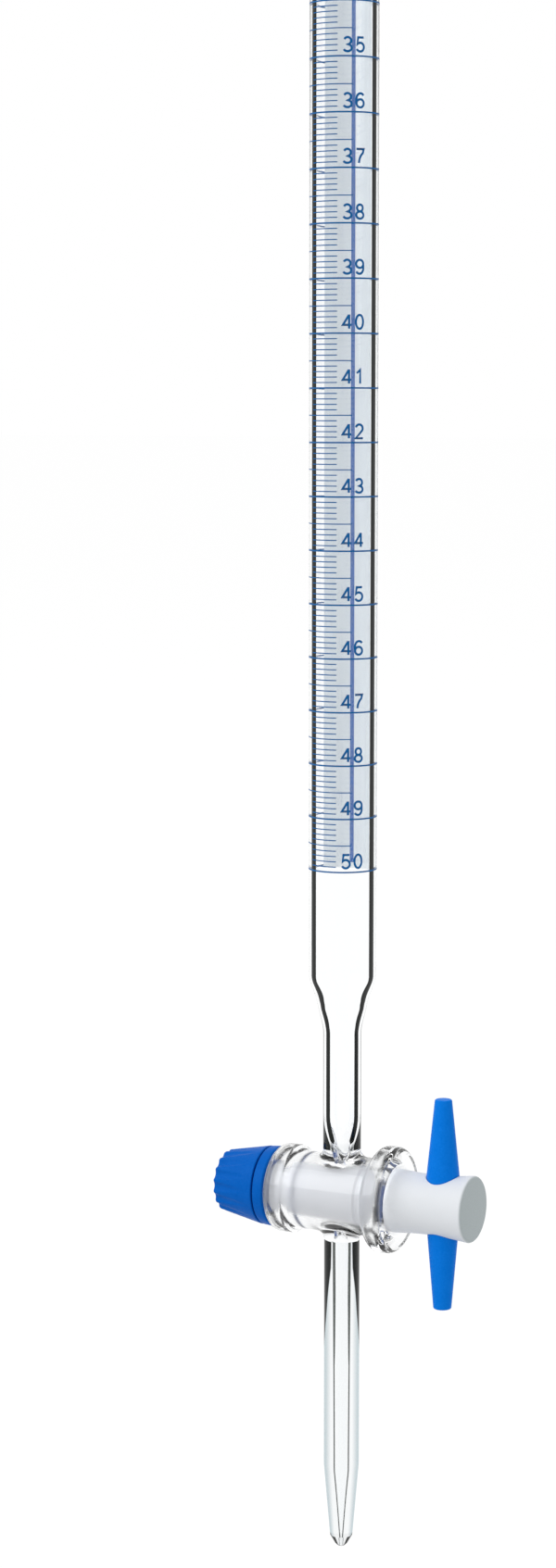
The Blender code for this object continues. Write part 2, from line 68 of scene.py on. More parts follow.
# Places that come from the frame
BARREL_LOW, BARREL_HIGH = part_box("stopcock_barrel")
JET_LOW, JET_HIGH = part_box("delivery_jet")
KEY_LOW, KEY_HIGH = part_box("tap_plug")
HANDLE_LOW, HANDLE_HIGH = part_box("tap_handle")
RING_LOW, RING_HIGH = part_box("thrust_ring")
SEAL_LOW, SEAL_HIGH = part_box("o_ring")
NUT_LOW, NUT_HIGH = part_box("tap_nut")
HANDLE_X = (HANDLE_LOW.x + HANDLE_HIGH.x) / 2
TAP_Z = next(joint["pos_m"][2] for joint in frame["joints"] if joint["name"] == "tap_turn")
RIM_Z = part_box("graduated_tube")[1].z
ZERO_Z = RIM_Z - 113.0 * MM

# The barrel's plain middle lies between these places on the tap's axis, and the flanges outside
NUT_ROOT, HEAD_ROOT = -8.6 * MM, 7.8 * MM

# Part of the narrowing that the shoulder's first step takes
SHOULDER_STEP = 0.58

# Corners of the bead: out from the bore, down from the rim and fillet, in millimetres
BEAD = ((0.0, 3.6, 0.0), (0.25, 1.4, 1.2), (0.7, 0.0, 0.35), (2.1, 0.0, 0.9),
        (3.5, 1.6, 1.1), (1.65, 3.7, 0.45), (1.25, 4.6, 0.0))

# Corners of the jet's ground and melted tip: radius, up from its end and fillet, in millimetres
JET_TIP = ((2.275, 2.27, 0.35), (1.25, 0.5, 0.5), (0.72, 0.0, 0.3))

# How finely the surfaces are divided, and the distance within which points are welded
ROUND = 128
ALONG_BARREL = 24
PATCH_STEPS = 16
ROUND_BARREL = 80
ROUND_TAP = 96
ROUND_HANDLE = 64
ROUND_FLUTE = 14
WELD = 0.0005 * MM

GLASS_IOR = 1.47

# The pale backdrop shows in glass that bends the view by less than so many degrees; past that, the
# glass's edge gets painted shade, a near-black colour. In the jet it reaches further, the lower one
# looks, given at shares of the jet's length.
OPEN_SKY = 180.0
TUBE_REACH = 26.0
FLANGE_REACH = 58.0
BEVEL_REACH = 24.0
JET_DOWN = (0.0, 0.064, 0.136, 0.223, 0.31, 0.36, 0.37)
JET_REACH = (24.0, 25.5, 36.0, 47.0, 66.0, 95.0, 180.0)

# Half the width of the painted dark line that ends a bore, as shares of the glass's radius
BORE_LINE = 0.06
JET_LINE = (0.08, 0.08, 0.08, 0.068, 0.055, 0.045, 0.035)

# How far down one looks, in degrees, at the shoulder and neck, at the jet and at its tip
NECK_TILT = 11.0
JET_TILT = 17.0
TIP_TILT = 19.5

# Steepest slope, in radians, that is taken out of a plain wall, the jet's bevel and the bead
STEEPEST_WALL = 0.2
STEEPEST_BEVEL = 1.0
STEEPEST_BEAD = 1.25

# The print lies so far above the glass that the two don't share a face
PRINT_LIFT = 0.006 * MM

# The floor's glow where it is seen and where it is a light, and the sky's strength as a light
FLOOR_GLOW, FLOOR_BOUNCE = 0.8, 0.45
SKY_LIGHT = 0.78

# The photograph's camera: direction, place about the tube's axis, picture and lens in millimetres
AZIMUTH, LOOK_DOWN = math.radians(27.5), math.radians(6.56)
EYE_DISTANCE, EYE_ASIDE, EYE_Z = 650.0 * MM, 12.85 * MM, -514.6 * MM
PICTURE_WIDTH, PICTURE_HEIGHT = 600, 1693
SENSOR, LENS = 36.0, 75.77


def length(name, description, millimetres):
    return FloatProperty(name=name, description=description, default=millimetres * MM,
                         min=0.0, unit="LENGTH", precision=5)


def colour(name, description, *rgb):
    return FloatVectorProperty(name=name, description=description, default=rgb,
                               size=3, min=0.0, max=1.0, subtype="COLOR")


def angle(name, description, degrees):
    return FloatProperty(name=name, description=description, default=math.radians(degrees),
                         unit="ROTATION")


def factor(name, description, value):
    return FloatProperty(name=name, description=description, default=value,
                         min=0.0, max=1.0, subtype="FACTOR")


class GlassSizes(bpy.types.PropertyGroup):
    """Sizes of the glass that the picture needs beside the frame's boxes."""
    tube_radius: length("Tube radius", "Outer radius of the graduated tube", 6.75)
    tube_bore: length("Tube bore", "Inner radius of the graduated tube", 5.5)
    shoulder_top: length("Shoulder", "Distance from the zero ring to the shoulder", 547.43)
    shoulder_upper: length("Upper shoulder", "Height over which the tube first narrows", 6.5)
    shoulder_start: length("Lower shoulder start", "Distance down to the second narrowing", 5.0)
    shoulder_lower: length("Lower shoulder", "Height over which the tube narrows to the neck", 7.0)
    neck_radius: length("Neck radius", "Outer radius of the neck", 3.8)
    neck_bore: length("Neck bore", "Inner radius at the top of the neck", 2.68)
    neck_throat: length("Neck throat", "Inner radius at the bottom of the neck", 1.3)
    throat_height: length("Throat height", "Height over which the neck's bore closes", 8.5)
    side_hole: length("Side hole", "Radius of the holes through barrel and key", 1.0)
    barrel_radius: length("Barrel radius", "Outer radius of the barrel", 7.85)
    seat_radius: length("Seat radius", "Radius of the key's seat at the head's side", 6.55)
    seat_taper: factor("Seat taper", "Radius that the seat loses per length", 0.05)
    head_flange: length("Head flange", "Radius of the flange at the head's side", 10.65)
    nut_flange: length("Nut flange", "Radius of the flange at the nut's side", 8.9)
    jet_radius: length("Jet radius", "Outer radius of the delivery jet", 3.575)
    jet_bore: length("Jet bore", "Inner radius at the top of the jet", 1.2)
    jet_lower_bore: length("Jet lower bore", "Inner radius above the jet's taper", 1.06)
    jet_hole: length("Jet hole", "Inner radius at the jet's tip", 0.3)
    jet_taper: length("Jet taper", "Height of the jet's taper", 17.2)
    fillet: length("Fillet", "Radius where the neck flows into the barrel", 1.5)


class PrintSizes(bpy.types.PropertyGroup):
    """Sizes and places of the graduation, its numbers and the rear band."""
    pitch: length("Pitch", "Distance from one millilitre ring to the next", 10.5226)
    capacity: IntProperty(name="Capacity", description="Rings below the zero ring", default=50)
    line: length("Line", "Height of a printed ring", 0.3)
    short_line: length("Short line", "Height of a printed short line", 0.2)
    film: length("Film", "Thickness of the fused print", 0.02)
    over_band: length("Over the band", "How far the rings rise to pass over the band", 0.03)
    hop: angle("Hop", "Angle over which a ring rises to the band", 4.0)
    minor_from: angle("Short lines from", "Where the short lines start", -35.0)
    minor_to: angle("Short lines to", "Where the short lines end", 15.0)
    half_from: angle("Half lines from", "Where the half lines start", -62.0)
    half_to: angle("Half lines to", "Where the half lines end", 40.5)
    number_from: angle("Numbers from", "Left side of the numbers", 23.5)
    number_height: length("Number height", "Height of the numbers", 3.1)
    number_pen: length("Number pen", "Width of the numbers' strokes", 0.44)
    number_gap: length("Number gap", "Extra space between a number's figures", 0.22)
    number_lift: length("Number lift", "Height of a number above its ring", 0.62)
    label_at: angle("Label", "Middle of the label", -11.5)
    rule: length("Rule", "Length of the line under the label's large figures", 8.4)
    rule_up: length("Rule height", "Height of that line above the zero ring", 29.6)
    band_at: angle("Band", "Middle of the white band and of its blue line", 188.4)
    band_half: angle("Band half width", "Angle from the blue line to the band's edge", 60.0)
    band_under: length("Band inside", "Lift of the band's inner face", 0.012)
    band_over: length("Band outside", "Lift of the band's outer face", 0.03)
    band_arch: length("Band arch", "How far the band's upper end arches past the zero ring", 0.5)
    band_below: length("Band below", "How far the band's sides pass the last ring", 0.5)
    band_foot: length("Band foot", "How far the band's lower end arches down", 0.2)
    stripe: length("Blue line", "Width of the blue line in the band", 0.95)
    stripe_over: length("Blue line outside", "Lift of the blue line's outer face", 0.033)
    stripe_above: length("Blue line above", "How far the blue line passes the zero ring", 0.8)
    stripe_end: length("Blue line end", "Height of the blue line's end above the last ring", 0.4)


class TapSizes(bpy.types.PropertyGroup):
    """Sizes of the key, handle, ring, seal and nut that the frame's boxes don't give."""
    head_end: length("Head end", "Radius of the key's head at its end", 6.7)
    head_mouth: length("Head mouth", "Radius of the key at the barrel's mouth", 6.35)
    waist: length("Waist", "How far the head pulls in between its ends", 0.55)
    groove_at: length("Groove place", "Middle of the shank's relief groove on the tap's axis", 6.6)
    groove_depth: length("Groove depth", "Depth of the relief groove", 0.4)
    stub: length("Stub", "Radius of the key's stub in the thrust ring", 4.2)
    thread: length("Thread", "Outer radius of the key's thread", 3.6)
    pitch: length("Thread pitch", "Length of one turn of the thread", 1.5)
    key_thread: length("Key thread", "Depth of the key's thread", 0.4)
    nut_thread: length("Nut thread", "Depth of the nut's thread", 0.3)
    play: length("Play", "Clearance of the nut's hole and pocket", 0.25)
    nut_large: length("Nut large", "Radius of the nut at the ring's side", 8.0)
    nut_small: length("Nut small", "Radius of the nut at its end", 6.15)
    flutes: IntProperty(name="Flutes", description="Number of flutes round the nut", default=16)
    flute_radius: length("Flute radius", "Radius of the round tool of a flute", 1.25)
    flute_depth: length("Flute depth", "Depth of a flute at the nut's end", 0.5)
    flute_length: factor("Flute length", "Part of the nut's length over which a flute runs out", 0.84)
    handle_upper_end: length("Upper end", "Radius of the handle's upper end", 1.7)
    handle_lower_end: length("Lower end", "Radius of the handle's lower end", 1.8)
    handle_upper_root: length("Upper root", "Radius of the handle above the head", 3.3)
    handle_lower_root: length("Lower root", "Radius of the handle below the head", 3.05)
    handle_root: length("Root height", "Height of those two places from the tap's axis", 6.0)
    handle_bow: length("Handle bow", "Radius of the bow that joins a root to its ends", 12.0)
    handle_play: length("Handle play", "Clearance of the handle in its hole", 0.12)


class Colours(bpy.types.PropertyGroup):
    """Colours of the finishes and of the painted shades, in linear values."""
    glass: colour("Glass", "Clear glass", 0.985, 0.992, 0.995)
    # Painted shade: near-black of glass edges that bend the view past the backdrop
    glass_edge: colour("Glass edge", "Glass that bends the view past the backdrop", 0.006, 0.008, 0.007)
    # Painted shade: grey over thick glass, most at its sides
    glass_veil: colour("Glass veil", "Thick glass seen at a slant", 0.20, 0.30, 0.34)
    print_blue: colour("Print", "Fused blue of lines and numbers", 0.0, 0.095, 0.29)
    enamel: colour("Enamel", "White band behind the scale", 0.86, 0.90, 0.93)
    stripe: colour("Stripe", "Blue line in the band", 0.0, 0.10, 0.40)
    ptfe: colour("PTFE", "White of the key", 0.79, 0.815, 0.85)
    # Painted shade: darker white for the key where it sits inside the glass barrel
    ptfe_shank: colour("PTFE shank", "White of the key where it fits the seat", 0.70, 0.71, 0.745)
    # Painted shade: greyer white on the key's end face
    ptfe_cut: colour("PTFE cut", "Greyer white of the key's cut end", 0.40, 0.45, 0.46)
    handle: colour("Handle", "Blue of the handle", 0.0, 0.175, 0.71)
    plastic: colour("Plastic", "Blue of ring and nut", 0.0, 0.108, 0.49)
    rubber: colour("Rubber", "Black of the seal", 0.02, 0.02, 0.02)
    floor: colour("Floor", "Matt part of the pale floor", 0.25, 0.25, 0.25)


class BuretteSettings(bpy.types.PropertyGroup):
    """All sizes and colours of the burette."""
    glass: PointerProperty(type=GlassSizes)
    print: PointerProperty(type=PrintSizes)
    tap: PointerProperty(type=TapSizes)
    colours: PointerProperty(type=Colours)


def settings():
    return bpy.context.scene.burette


# Node materials


class Nodes:
    """Short ways to add nodes to a tree."""

    def __init__(self, tree):
        self.tree = tree

    def feed(self, socket, value):
        if isinstance(value, bpy.types.NodeSocket):
            self.tree.links.new(value, socket)
        else:
            socket.default_value = value

    def node(self, kind, **inputs):
        made = self.tree.nodes.new(kind)
        for socket, value in inputs.items():
            self.feed(made.inputs[socket.replace("_", " ")], value)
        return made

    def maths(self, operation, *values):
        made = self.tree.nodes.new("ShaderNodeMath")
        made.operation = operation
        for socket, value in zip(made.inputs, (*values, 0.0, 0.0)):
            self.feed(socket, value)
        return made.outputs[0]

    def minus(self, first, second):
        return self.maths("SUBTRACT", first, second)

    def times(self, first, *others):
        for other in others:
            first = self.maths("MULTIPLY", first, other)
        return first

    def most(self, first, *others):
        for other in others:
            first = self.maths("MAXIMUM", first, other)
        return first

    def ramp(self, value, start, stop):
        """Smooth step from 0 at start to 1 at stop."""
        made = self.node("ShaderNodeMapRange", Value=value, From_Min=start, From_Max=stop)
        made.interpolation_type = "SMOOTHSTEP"
        return made.outputs["Result"]

    def between(self, fraction, low, high):
        """low where fraction is 0 and high where it is 1."""
        return self.maths("MULTIPLY_ADD", fraction, high - low, low)

    def in_sight(self):
        """1 for rays that the camera, a reflection or glass sends, unless a matt surface was met before."""
        path = self.node("ShaderNodeLightPath").outputs
        rays = self.most(path["Is Camera Ray"], path["Is Glossy Ray"], path["Is Transmission Ray"])
        return self.times(rays, self.maths("LESS_THAN", path["Diffuse Depth"], 0.5))


class Look(Nodes):
    """A material with one Principled shader."""

    def __init__(self, name, base, roughness, ior=1.45, **plain):
        self.material = bpy.data.materials.new(name)
        self.material.use_nodes = True
        super().__init__(self.material.node_tree)
        self.shader = self.tree.nodes["Principled BSDF"]
        self.set(Base_Color=(*base, 1.0), Roughness=roughness, IOR=ior, **plain)

    def set(self, **inputs):
        """Plain values or sockets for the shader's own sockets."""
        for socket, value in inputs.items():
            self.feed(self.shader.inputs[socket.replace("_", " ")], value)

    def object_place(self, scale=(1.0, 1.0, 1.0)):
        place = self.node("ShaderNodeTexCoord").outputs["Object"]
        return self.node("ShaderNodeMapping", Vector=place, Scale=scale).outputs["Vector"]

    def value_of(self, name):
        """Number that the mesh carries for each point."""
        made = self.node("ShaderNodeAttribute")
        made.attribute_name = name
        return made.outputs["Fac"]

    def noise(self, scale, detail=2.0, stretch=(1.0, 1.0, 1.0)):
        place = self.object_place(stretch)
        return self.node("ShaderNodeTexNoise", Vector=place, Scale=scale, Detail=detail).outputs["Fac"]

    def blend(self, fraction, first, second):
        """Colour that runs from first to second with fraction; each is a socket or a plain colour."""
        mix = self.tree.nodes.new("ShaderNodeMix")
        mix.data_type = "RGBA"
        self.feed(mix.inputs[0], fraction)
        for place, tint in ((6, first), (7, second)):
            self.feed(mix.inputs[place], tint if isinstance(tint, bpy.types.NodeSocket) else (*tint, 1.0))
        return mix.outputs[2]

    def relief(self, height, distance):
        self.set(Normal=self.node("ShaderNodeBump", Height=height, Distance=distance).outputs["Normal"])


def scaled(rgb, factor):
    return tuple(channel * factor for channel in rgb)


def sideways(look):
    """Distance of the sight line from the middle of a round wall, as a share of its radius.

    The wall's own slope is taken out with the most that it can face the camera.
    """
    facing = look.node("ShaderNodeLayerWeight", Blend=0.5).outputs["Facing"]
    across = look.maths("DIVIDE", look.minus(1.0, facing), look.value_of("faces_at_most"))
    across = look.maths("MINIMUM", across, 1.0)
    return look.maths("SQRT", look.minus(1.0, look.times(across, across)))


def bend_of_view(look, offset, bore_share, solid):
    """How far the wall bends a sight line, in radians, as a tube does.

    A line that meets a tube at b of its radius is refracted into the wall, and then either goes
    through the bore or is thrown back by it. In all it turns by twice
    asin(b) - asin(b / n) - asin(min(b / s, 1)) + asin(min(b / (n s), 1)),
    where n is the glass's index and s the bore's share of the tube's radius. solid takes the
    bore's terms out again.
    """
    in_glass = look.maths("DIVIDE", offset, GLASS_IOR)
    at_bore = look.maths("MINIMUM", look.maths("DIVIDE", offset, bore_share), 1.0)
    into_bore = look.maths("MINIMUM", look.maths("DIVIDE", in_glass, bore_share), 1.0)
    outside = look.minus(look.maths("ARCSINE", offset), look.maths("ARCSINE", in_glass))
    inside = look.minus(look.maths("ARCSINE", into_bore), look.maths("ARCSINE", at_bore))
    inside = look.times(inside, look.minus(1.0, solid))
    return look.times(look.maths("ABSOLUTE", look.maths("ADD", outside, inside)), 2.0)


def bore_line(look, offset, bore_share):
    """Painted dark line where the bore seems to end, at n times its share of the radius."""
    half = look.value_of("bore_line")
    middle = look.minus(look.times(bore_share, GLASS_IOR), half)
    away = look.maths("ABSOLUTE", look.minus(offset, middle))
    return look.ramp(look.minus(half, away), -0.02, 0.01)


def glass_wall():
    """Clear glass with painted shade: its edges are painted near-black where they would bend the view past
    the pale backdrop.

    That painted darkness is for sight lines alone: light that surfaces inside the glass scatter passes.
    Thick glass, with a bore under half of its radius, also has painted grey shade to the sides and a
    painted dark line where the bore seems to end.
    """
    colours = settings().colours
    look = Look("glass_wall", colours.glass, 0.0, GLASS_IOR, Specular_IOR_Level=0.2)
    share = look.value_of("bore_share")
    offset = sideways(look)
    thick = look.ramp(share, 0.5, 0.4)
    beyond = look.minus(bend_of_view(look, offset, share, thick), look.value_of("backdrop_reach"))
    past = look.ramp(beyond, math.radians(-2.0), math.radians(2.0))
    inward = look.node("ShaderNodeNewGeometry").outputs["Backfacing"]
    depth = look.node("ShaderNodeLightPath").outputs["Diffuse Depth"]
    seen = look.minus(1.0, look.most(inward, look.maths("GREATER_THAN", depth, 0.5)))
    # Painted shade: where the wall bends the view too far it is painted near-black and passes no light
    darkness = look.times(past, seen)
    # Painted shade: grey over thick glass, growing towards its sides
    slant_shade = look.times(look.most(look.ramp(offset, 0.42, 1.0), 0.2), thick, seen)
    # Painted shade: dark line where the thick glass's bore seems to end
    line = look.times(bore_line(look, offset, share), thick, seen)
    slant_shaded = look.blend(slant_shade, colours.glass, colours.glass_veil)
    # The painted shades go into the base colour, the painted edge shade darkest
    look.set(Base_Color=look.blend(look.most(darkness, line), slant_shaded, colours.glass_edge),
             Transmission_Weight=look.minus(1.0, darkness))
    return look.material


def glass_bore():
    """Clear glass of the bores, with nothing but its refraction."""
    return Look("glass_bore", settings().colours.glass, 0.0, GLASS_IOR, Transmission_Weight=1.0,
                Specular_IOR_Level=0.2).material


def ground_seat():
    """Glass of the key's seat, faintly matt from grinding, in rings round the tap's axis."""
    look = Look("ground_seat", settings().colours.glass, 0.2, GLASS_IOR, Transmission_Weight=1.0)
    look.set(Roughness=look.between(look.noise(3000.0, stretch=(1.0, 0.05, 0.05)), 0.14, 0.26))
    return look.material


def fused_print(name, rgb):
    """Enamel fired on the glass: half gloss, a little uneven in strength."""
    look = Look(name, rgb, 0.4, 1.5, Specular_IOR_Level=0.15)
    uneven = look.noise(2600.0)
    look.set(Base_Color=look.blend(uneven, rgb, scaled(rgb, 1.3)),
             Roughness=look.between(uneven, 0.32, 0.5))
    return look.material


def white_enamel():
    """Milk glass of the band, with faint streaks along the draw of the tube."""
    rgb = settings().colours.enamel
    look = Look("white_enamel", rgb, 0.25, 1.5)
    streak = look.noise(900.0, stretch=(1.0, 1.0, 0.02))
    look.set(Base_Color=look.blend(streak, rgb, scaled(rgb, 1.06)))
    return look.material


def turned_ptfe():
    """White PTFE off the lathe: waxy, with fine rings of the tool along X. Painted shade makes its end face
    greyer and its shank inside the glass barrel a darker white.
    """
    colours = settings().colours
    look = Look("turned_ptfe", colours.ptfe, 0.42, 1.35, Specular_IOR_Level=0.3)
    rings = look.noise(4200.0, stretch=(1.0, 0.02, 0.02))
    waxy = look.blend(look.noise(260.0, 4.0), scaled(colours.ptfe, 0.965), colours.ptfe)
    # Painted shade: the last half millimetre of the head, at its end face, turns greyer white
    end_shade = look.blend(look.noise(3800.0, 3.0), colours.ptfe_cut, scaled(colours.ptfe_cut, 1.25))
    along = look.node("ShaderNodeSeparateXYZ", Vector=look.object_place()).outputs["X"]
    end = look.ramp(along, KEY_HIGH.x - 0.5 * MM, KEY_HIGH.x - 0.02 * MM)
    # Painted shade: the shank inside the glass barrel turns a darker white
    in_seat = look.ramp(along, BARREL_HIGH.x + 0.3 * MM, BARREL_HIGH.x - 0.6 * MM)
    turned = look.blend(in_seat, waxy, colours.ptfe_shank)
    look.set(Base_Color=look.blend(end, turned, end_shade), Roughness=look.between(rings, 0.34, 0.5))
    look.relief(rings, 0.012 * MM)
    return look.material


def moulded_plastic(name, rgb):
    """Blue moulded plastic: half gloss, with a fine grain and slightly cloudy colour."""
    look = Look(name, rgb, 0.34, 1.49, Specular_IOR_Level=0.03)
    cloud = look.noise(420.0, 4.0)
    grain = look.noise(5200.0)
    light = (rgb[0] + 0.004, rgb[1] * 1.16, rgb[2] * 1.1)
    mottle = look.maths("MULTIPLY_ADD", look.minus(look.noise(2400.0), 0.5), 1.6, cloud)
    look.set(Base_Color=look.blend(mottle, rgb, light), Roughness=look.between(grain, 0.28, 0.42))
    look.relief(grain, 0.008 * MM)
    return look.material


def seal_rubber():
    """Matt black rubber with a fine dusty grain."""
    look = Look("seal_rubber", settings().colours.rubber, 0.62, 1.52)
    grain = look.noise(6000.0, 3.0)
    look.set(Roughness=look.between(grain, 0.5, 0.75))
    look.relief(grain, 0.01 * MM)
    return look.material


# Surfaces: grids of points as whole arrays


def smoothstep(share):
    """s squared times (3 - 2 s), with s held between 0 and 1."""
    share = np.clip(share, 0.0, 1.0)
    return share * share * (3.0 - 2.0 * share)


def turns(columns):
    """Evenly spaced angles of a full turn."""
    return np.arange(columns) * 2 * np.pi / columns


def bow(cx, cy, rx, ry, start, stop, steps=16):
    """Part of an ellipse, with angles in degrees: (cx + rx cos a, cy + ry sin a)."""
    angles = np.radians(np.linspace(start, stop, steps + 1))
    return np.stack([cx + rx * np.cos(angles), cy + ry * np.sin(angles)], axis=1)


def straight(start, stop, steps=1):
    """Evenly spaced points from start to stop, both included."""
    share = np.linspace(0.0, 1.0, steps + 1)[:, None]
    return np.asarray(start) * (1.0 - share) + np.asarray(stop) * share


def rounded(corners, steps=10):
    """Outline through (radius, height, fillet) corners: each fillet is the arc that touches both sides."""
    pieces = []
    for index, (radius, height, fillet) in enumerate(corners):
        corner = np.array([radius, height])
        if fillet <= 0.0:
            pieces.append(corner[None, :])
            continue
        before, after = [np.array(corners[index + side][:2]) - corner for side in (-1, 1)]
        before /= np.linalg.norm(before)
        after /= np.linalg.norm(after)
        half = math.acos(float(np.clip(before @ after, -1.0, 1.0))) / 2
        middle = corner + (before + after) / np.linalg.norm(before + after) * fillet / math.sin(half)
        first, last = [corner + side * fillet / math.tan(half) - middle for side in (before, after)]
        sweep = math.atan2(first[0] * last[1] - first[1] * last[0], float(first @ last))
        turn = np.linspace(0.0, sweep, steps + 1)[:, None]
        pieces.append(middle + first * np.cos(turn) + np.array([-first[1], first[0]]) * np.sin(turn))
    return np.concatenate(pieces)


def about_z(profile, columns):
    """Grid of a profile turned about the tube's axis: (r cos t, r sin t, h)."""
    turn = turns(columns)
    radius, height = profile[:, :1], profile[:, 1:]
    return np.stack(np.broadcast_arrays(radius * np.cos(turn), radius * np.sin(turn), height), axis=2)


def about_x(profile, columns, radius_change=None):
    """Grid of a (radius, x) profile turned about the tap's axis: (x, r cos t, axis + r sin t).

    radius_change takes the x and angle grids and gives what is added to the radius.
    """
    radius, along = [np.repeat(profile[:, [side]], columns, axis=1) for side in (0, 1)]
    turn = np.broadcast_to(turns(columns), radius.shape)
    if radius_change is not None:
        radius = radius + radius_change(along, turn)
    return np.stack([along, radius * np.cos(turn), TAP_Z + radius * np.sin(turn)], axis=2)


def quads(rows, columns, close_rows=False, close_columns=True):
    """Corners of the quads between the neighbouring points of a grid."""
    row = np.arange(rows if close_rows else rows - 1)
    column = np.arange(columns if close_columns else columns - 1)
    row, column = [index.ravel() for index in np.meshgrid(row, column, indexing="ij")]
    below, beside = (row + 1) % rows, (column + 1) % columns
    corners = [row * columns + column, below * columns + column,
               below * columns + beside, row * columns + beside]
    return np.stack(corners, axis=1)


def merge_close(mesh):
    """Weld points that lie close together, which closes seams and poles."""
    editable = bmesh.new()
    editable.from_mesh(mesh)
    bmesh.ops.remove_doubles(editable, verts=editable.verts, dist=WELD)
    bmesh.ops.dissolve_degenerate(editable, edges=editable.edges, dist=WELD)
    editable.to_mesh(mesh)
    editable.free()


def smooth(mesh, sharp):
    """Smooth faces, and edges that are sharp past an angle in degrees."""
    mesh.shade_smooth()
    mesh.set_sharp_from_angle(angle=math.radians(sharp))


def new_mesh(name, points, faces, *materials):
    mesh = bpy.data.meshes.new(name)
    mesh.from_pydata(points, [], faces)
    for material in materials:
        mesh.materials.append(material)
    return mesh


def put(name, data):
    """New object with the given data, at the origin."""
    obj = bpy.data.objects.new(name, data)
    bpy.context.scene.collection.objects.link(obj)
    return obj


class Skin:
    """Grids of points that grow together into one closed mesh."""

    def __init__(self):
        self.points = []
        self.faces = []
        self.slots = []
        self.values = {}
        self.count = 0

    def add(self, grid, slots=0, close_rows=False, **values):
        """Add a grid. slots is a material index per row of quads, values are numbers per row of points."""
        rows, columns = grid.shape[:2]
        faces = quads(rows, columns, close_rows)
        self.points.append(grid.reshape(-1, 3))
        self.faces.append(faces + self.count)
        self.slots.append(np.repeat(np.broadcast_to(slots, len(faces) // columns), columns))
        for name, value in values.items():
            self.values.setdefault(name, []).append(np.repeat(np.broadcast_to(value, rows), columns))
        self.count += rows * columns
        return self

    def finish(self, name, *materials, sharp=35.0):
        """Make the object: welded seams and poles, smooth faces, edges sharp past the angle."""
        mesh = new_mesh(name, np.concatenate(self.points), np.concatenate(self.faces), *materials)
        mesh.polygons.foreach_set("material_index", np.concatenate(self.slots).astype(np.int32))
        for value_name, arrays in self.values.items():
            attribute = mesh.attributes.new(value_name, "FLOAT", "POINT")
            attribute.data.foreach_set("value", np.concatenate(arrays).astype(np.float32))
        merge_close(mesh)
        smooth(mesh, sharp)
        return put(name, mesh)


def dress(obj, body, slot, *nodes):
    """Let a piece ride on its body and stand for its solids, which are hidden; slot is not used."""
    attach(obj, body)
    if nodes:
        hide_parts(*nodes)


# Glass


def patch_border():
    """(x, angle from the top) round the edge of half a barrel, from the middle of its side at +X."""
    quarter = (ROUND - 2 * ALONG_BARREL) // 4
    up = np.linspace(0.0, np.pi / 2, quarter + 1)
    over = np.linspace(np.pi / 2, -np.pi / 2, 2 * quarter + 1)
    back = np.linspace(HEAD_ROOT, NUT_ROOT, ALONG_BARREL + 1)
    head, edge = np.full(quarter, HEAD_ROOT), np.full(ALONG_BARREL, np.pi / 2)
    x = np.concatenate([head, back[:-1], np.full(2 * quarter, NUT_ROOT), back[:0:-1], head])
    return x, np.concatenate([up[:-1], edge, over[:-1], -edge, -up[:0:-1]])


def barrel_patch(radius_at, hole, side):
    """Half of a barrel round a branch: rows run from the branch's hole to the half's edge.

    A row blends the hole's loop with the border in the plane of x and angle, and the point then
    lies on the barrel: (x, R sin a, side R cos a).
    """
    turn = turns(ROUND)
    hole_x, hole_y = hole * np.cos(turn), hole * np.sin(turn)
    hole_tilt = np.arcsin(hole_y / radius_at(hole_x))
    border_x, border_tilt = patch_border()
    share = np.linspace(0.0, 1.0, PATCH_STEPS + 1)[:, None]
    x = hole_x * (1.0 - share) + border_x * share
    tilt = hole_tilt * (1.0 - share) + border_tilt * share
    radius = radius_at(x)
    return np.stack([x, radius * np.sin(tilt), TAP_Z + side * radius * np.cos(tilt)], axis=2)


def branch_rows(radius_at, pipe, side, fillet=0.0, steps=0):
    """Rows from a straight pipe into the barrel's surface, along a quarter circle of the fillet's radius.

    The barrel's height over its axis is the square root of R(x) squared less y squared. Without a
    fillet it is the one loop in which the pipe meets that surface.
    """
    turn = turns(ROUND)
    sweep = np.linspace(0.0, np.pi / 2, steps + 1)[:, None]
    radius = pipe + fillet * (1.0 - np.cos(sweep))
    lift = fillet * (1.0 - np.sin(sweep))
    x, y = radius * np.cos(turn), radius * np.sin(turn)
    return np.stack([x, y, TAP_Z + side * (np.sqrt(radius_at(x) ** 2 - y ** 2) + lift)], axis=2)


def upright_facing(outline, tilt, steepest=STEEPEST_WALL):
    """Most that the rows of a turned wall face the eye: cosine of their slope plus the look down."""
    slope = np.arctan2(np.gradient(outline[:, 0]), np.abs(np.gradient(outline[:, 1])))
    return np.cos(np.minimum(np.abs(slope), steepest) + np.radians(tilt))


def add_glass(skin, *parts):
    """Join parts into one grid of the skin: (grid, slot, bore share, reach, facing, bore line) each.

    A number holds for its whole part, an array gives one value per row. The reach is in degrees.
    The quads between two parts have the slot of the first.
    """
    counts = [len(part[0]) for part in parts]
    grids, *columns = zip(*parts)
    slot, share, reach, facing, line = [
        np.concatenate([np.broadcast_to(value, count) for value, count in zip(column, counts)])
        for column in columns
    ]
    skin.add(np.concatenate(grids), slot[:-1], bore_share=share, backdrop_reach=np.radians(reach),
             faces_at_most=facing, bore_line=line)


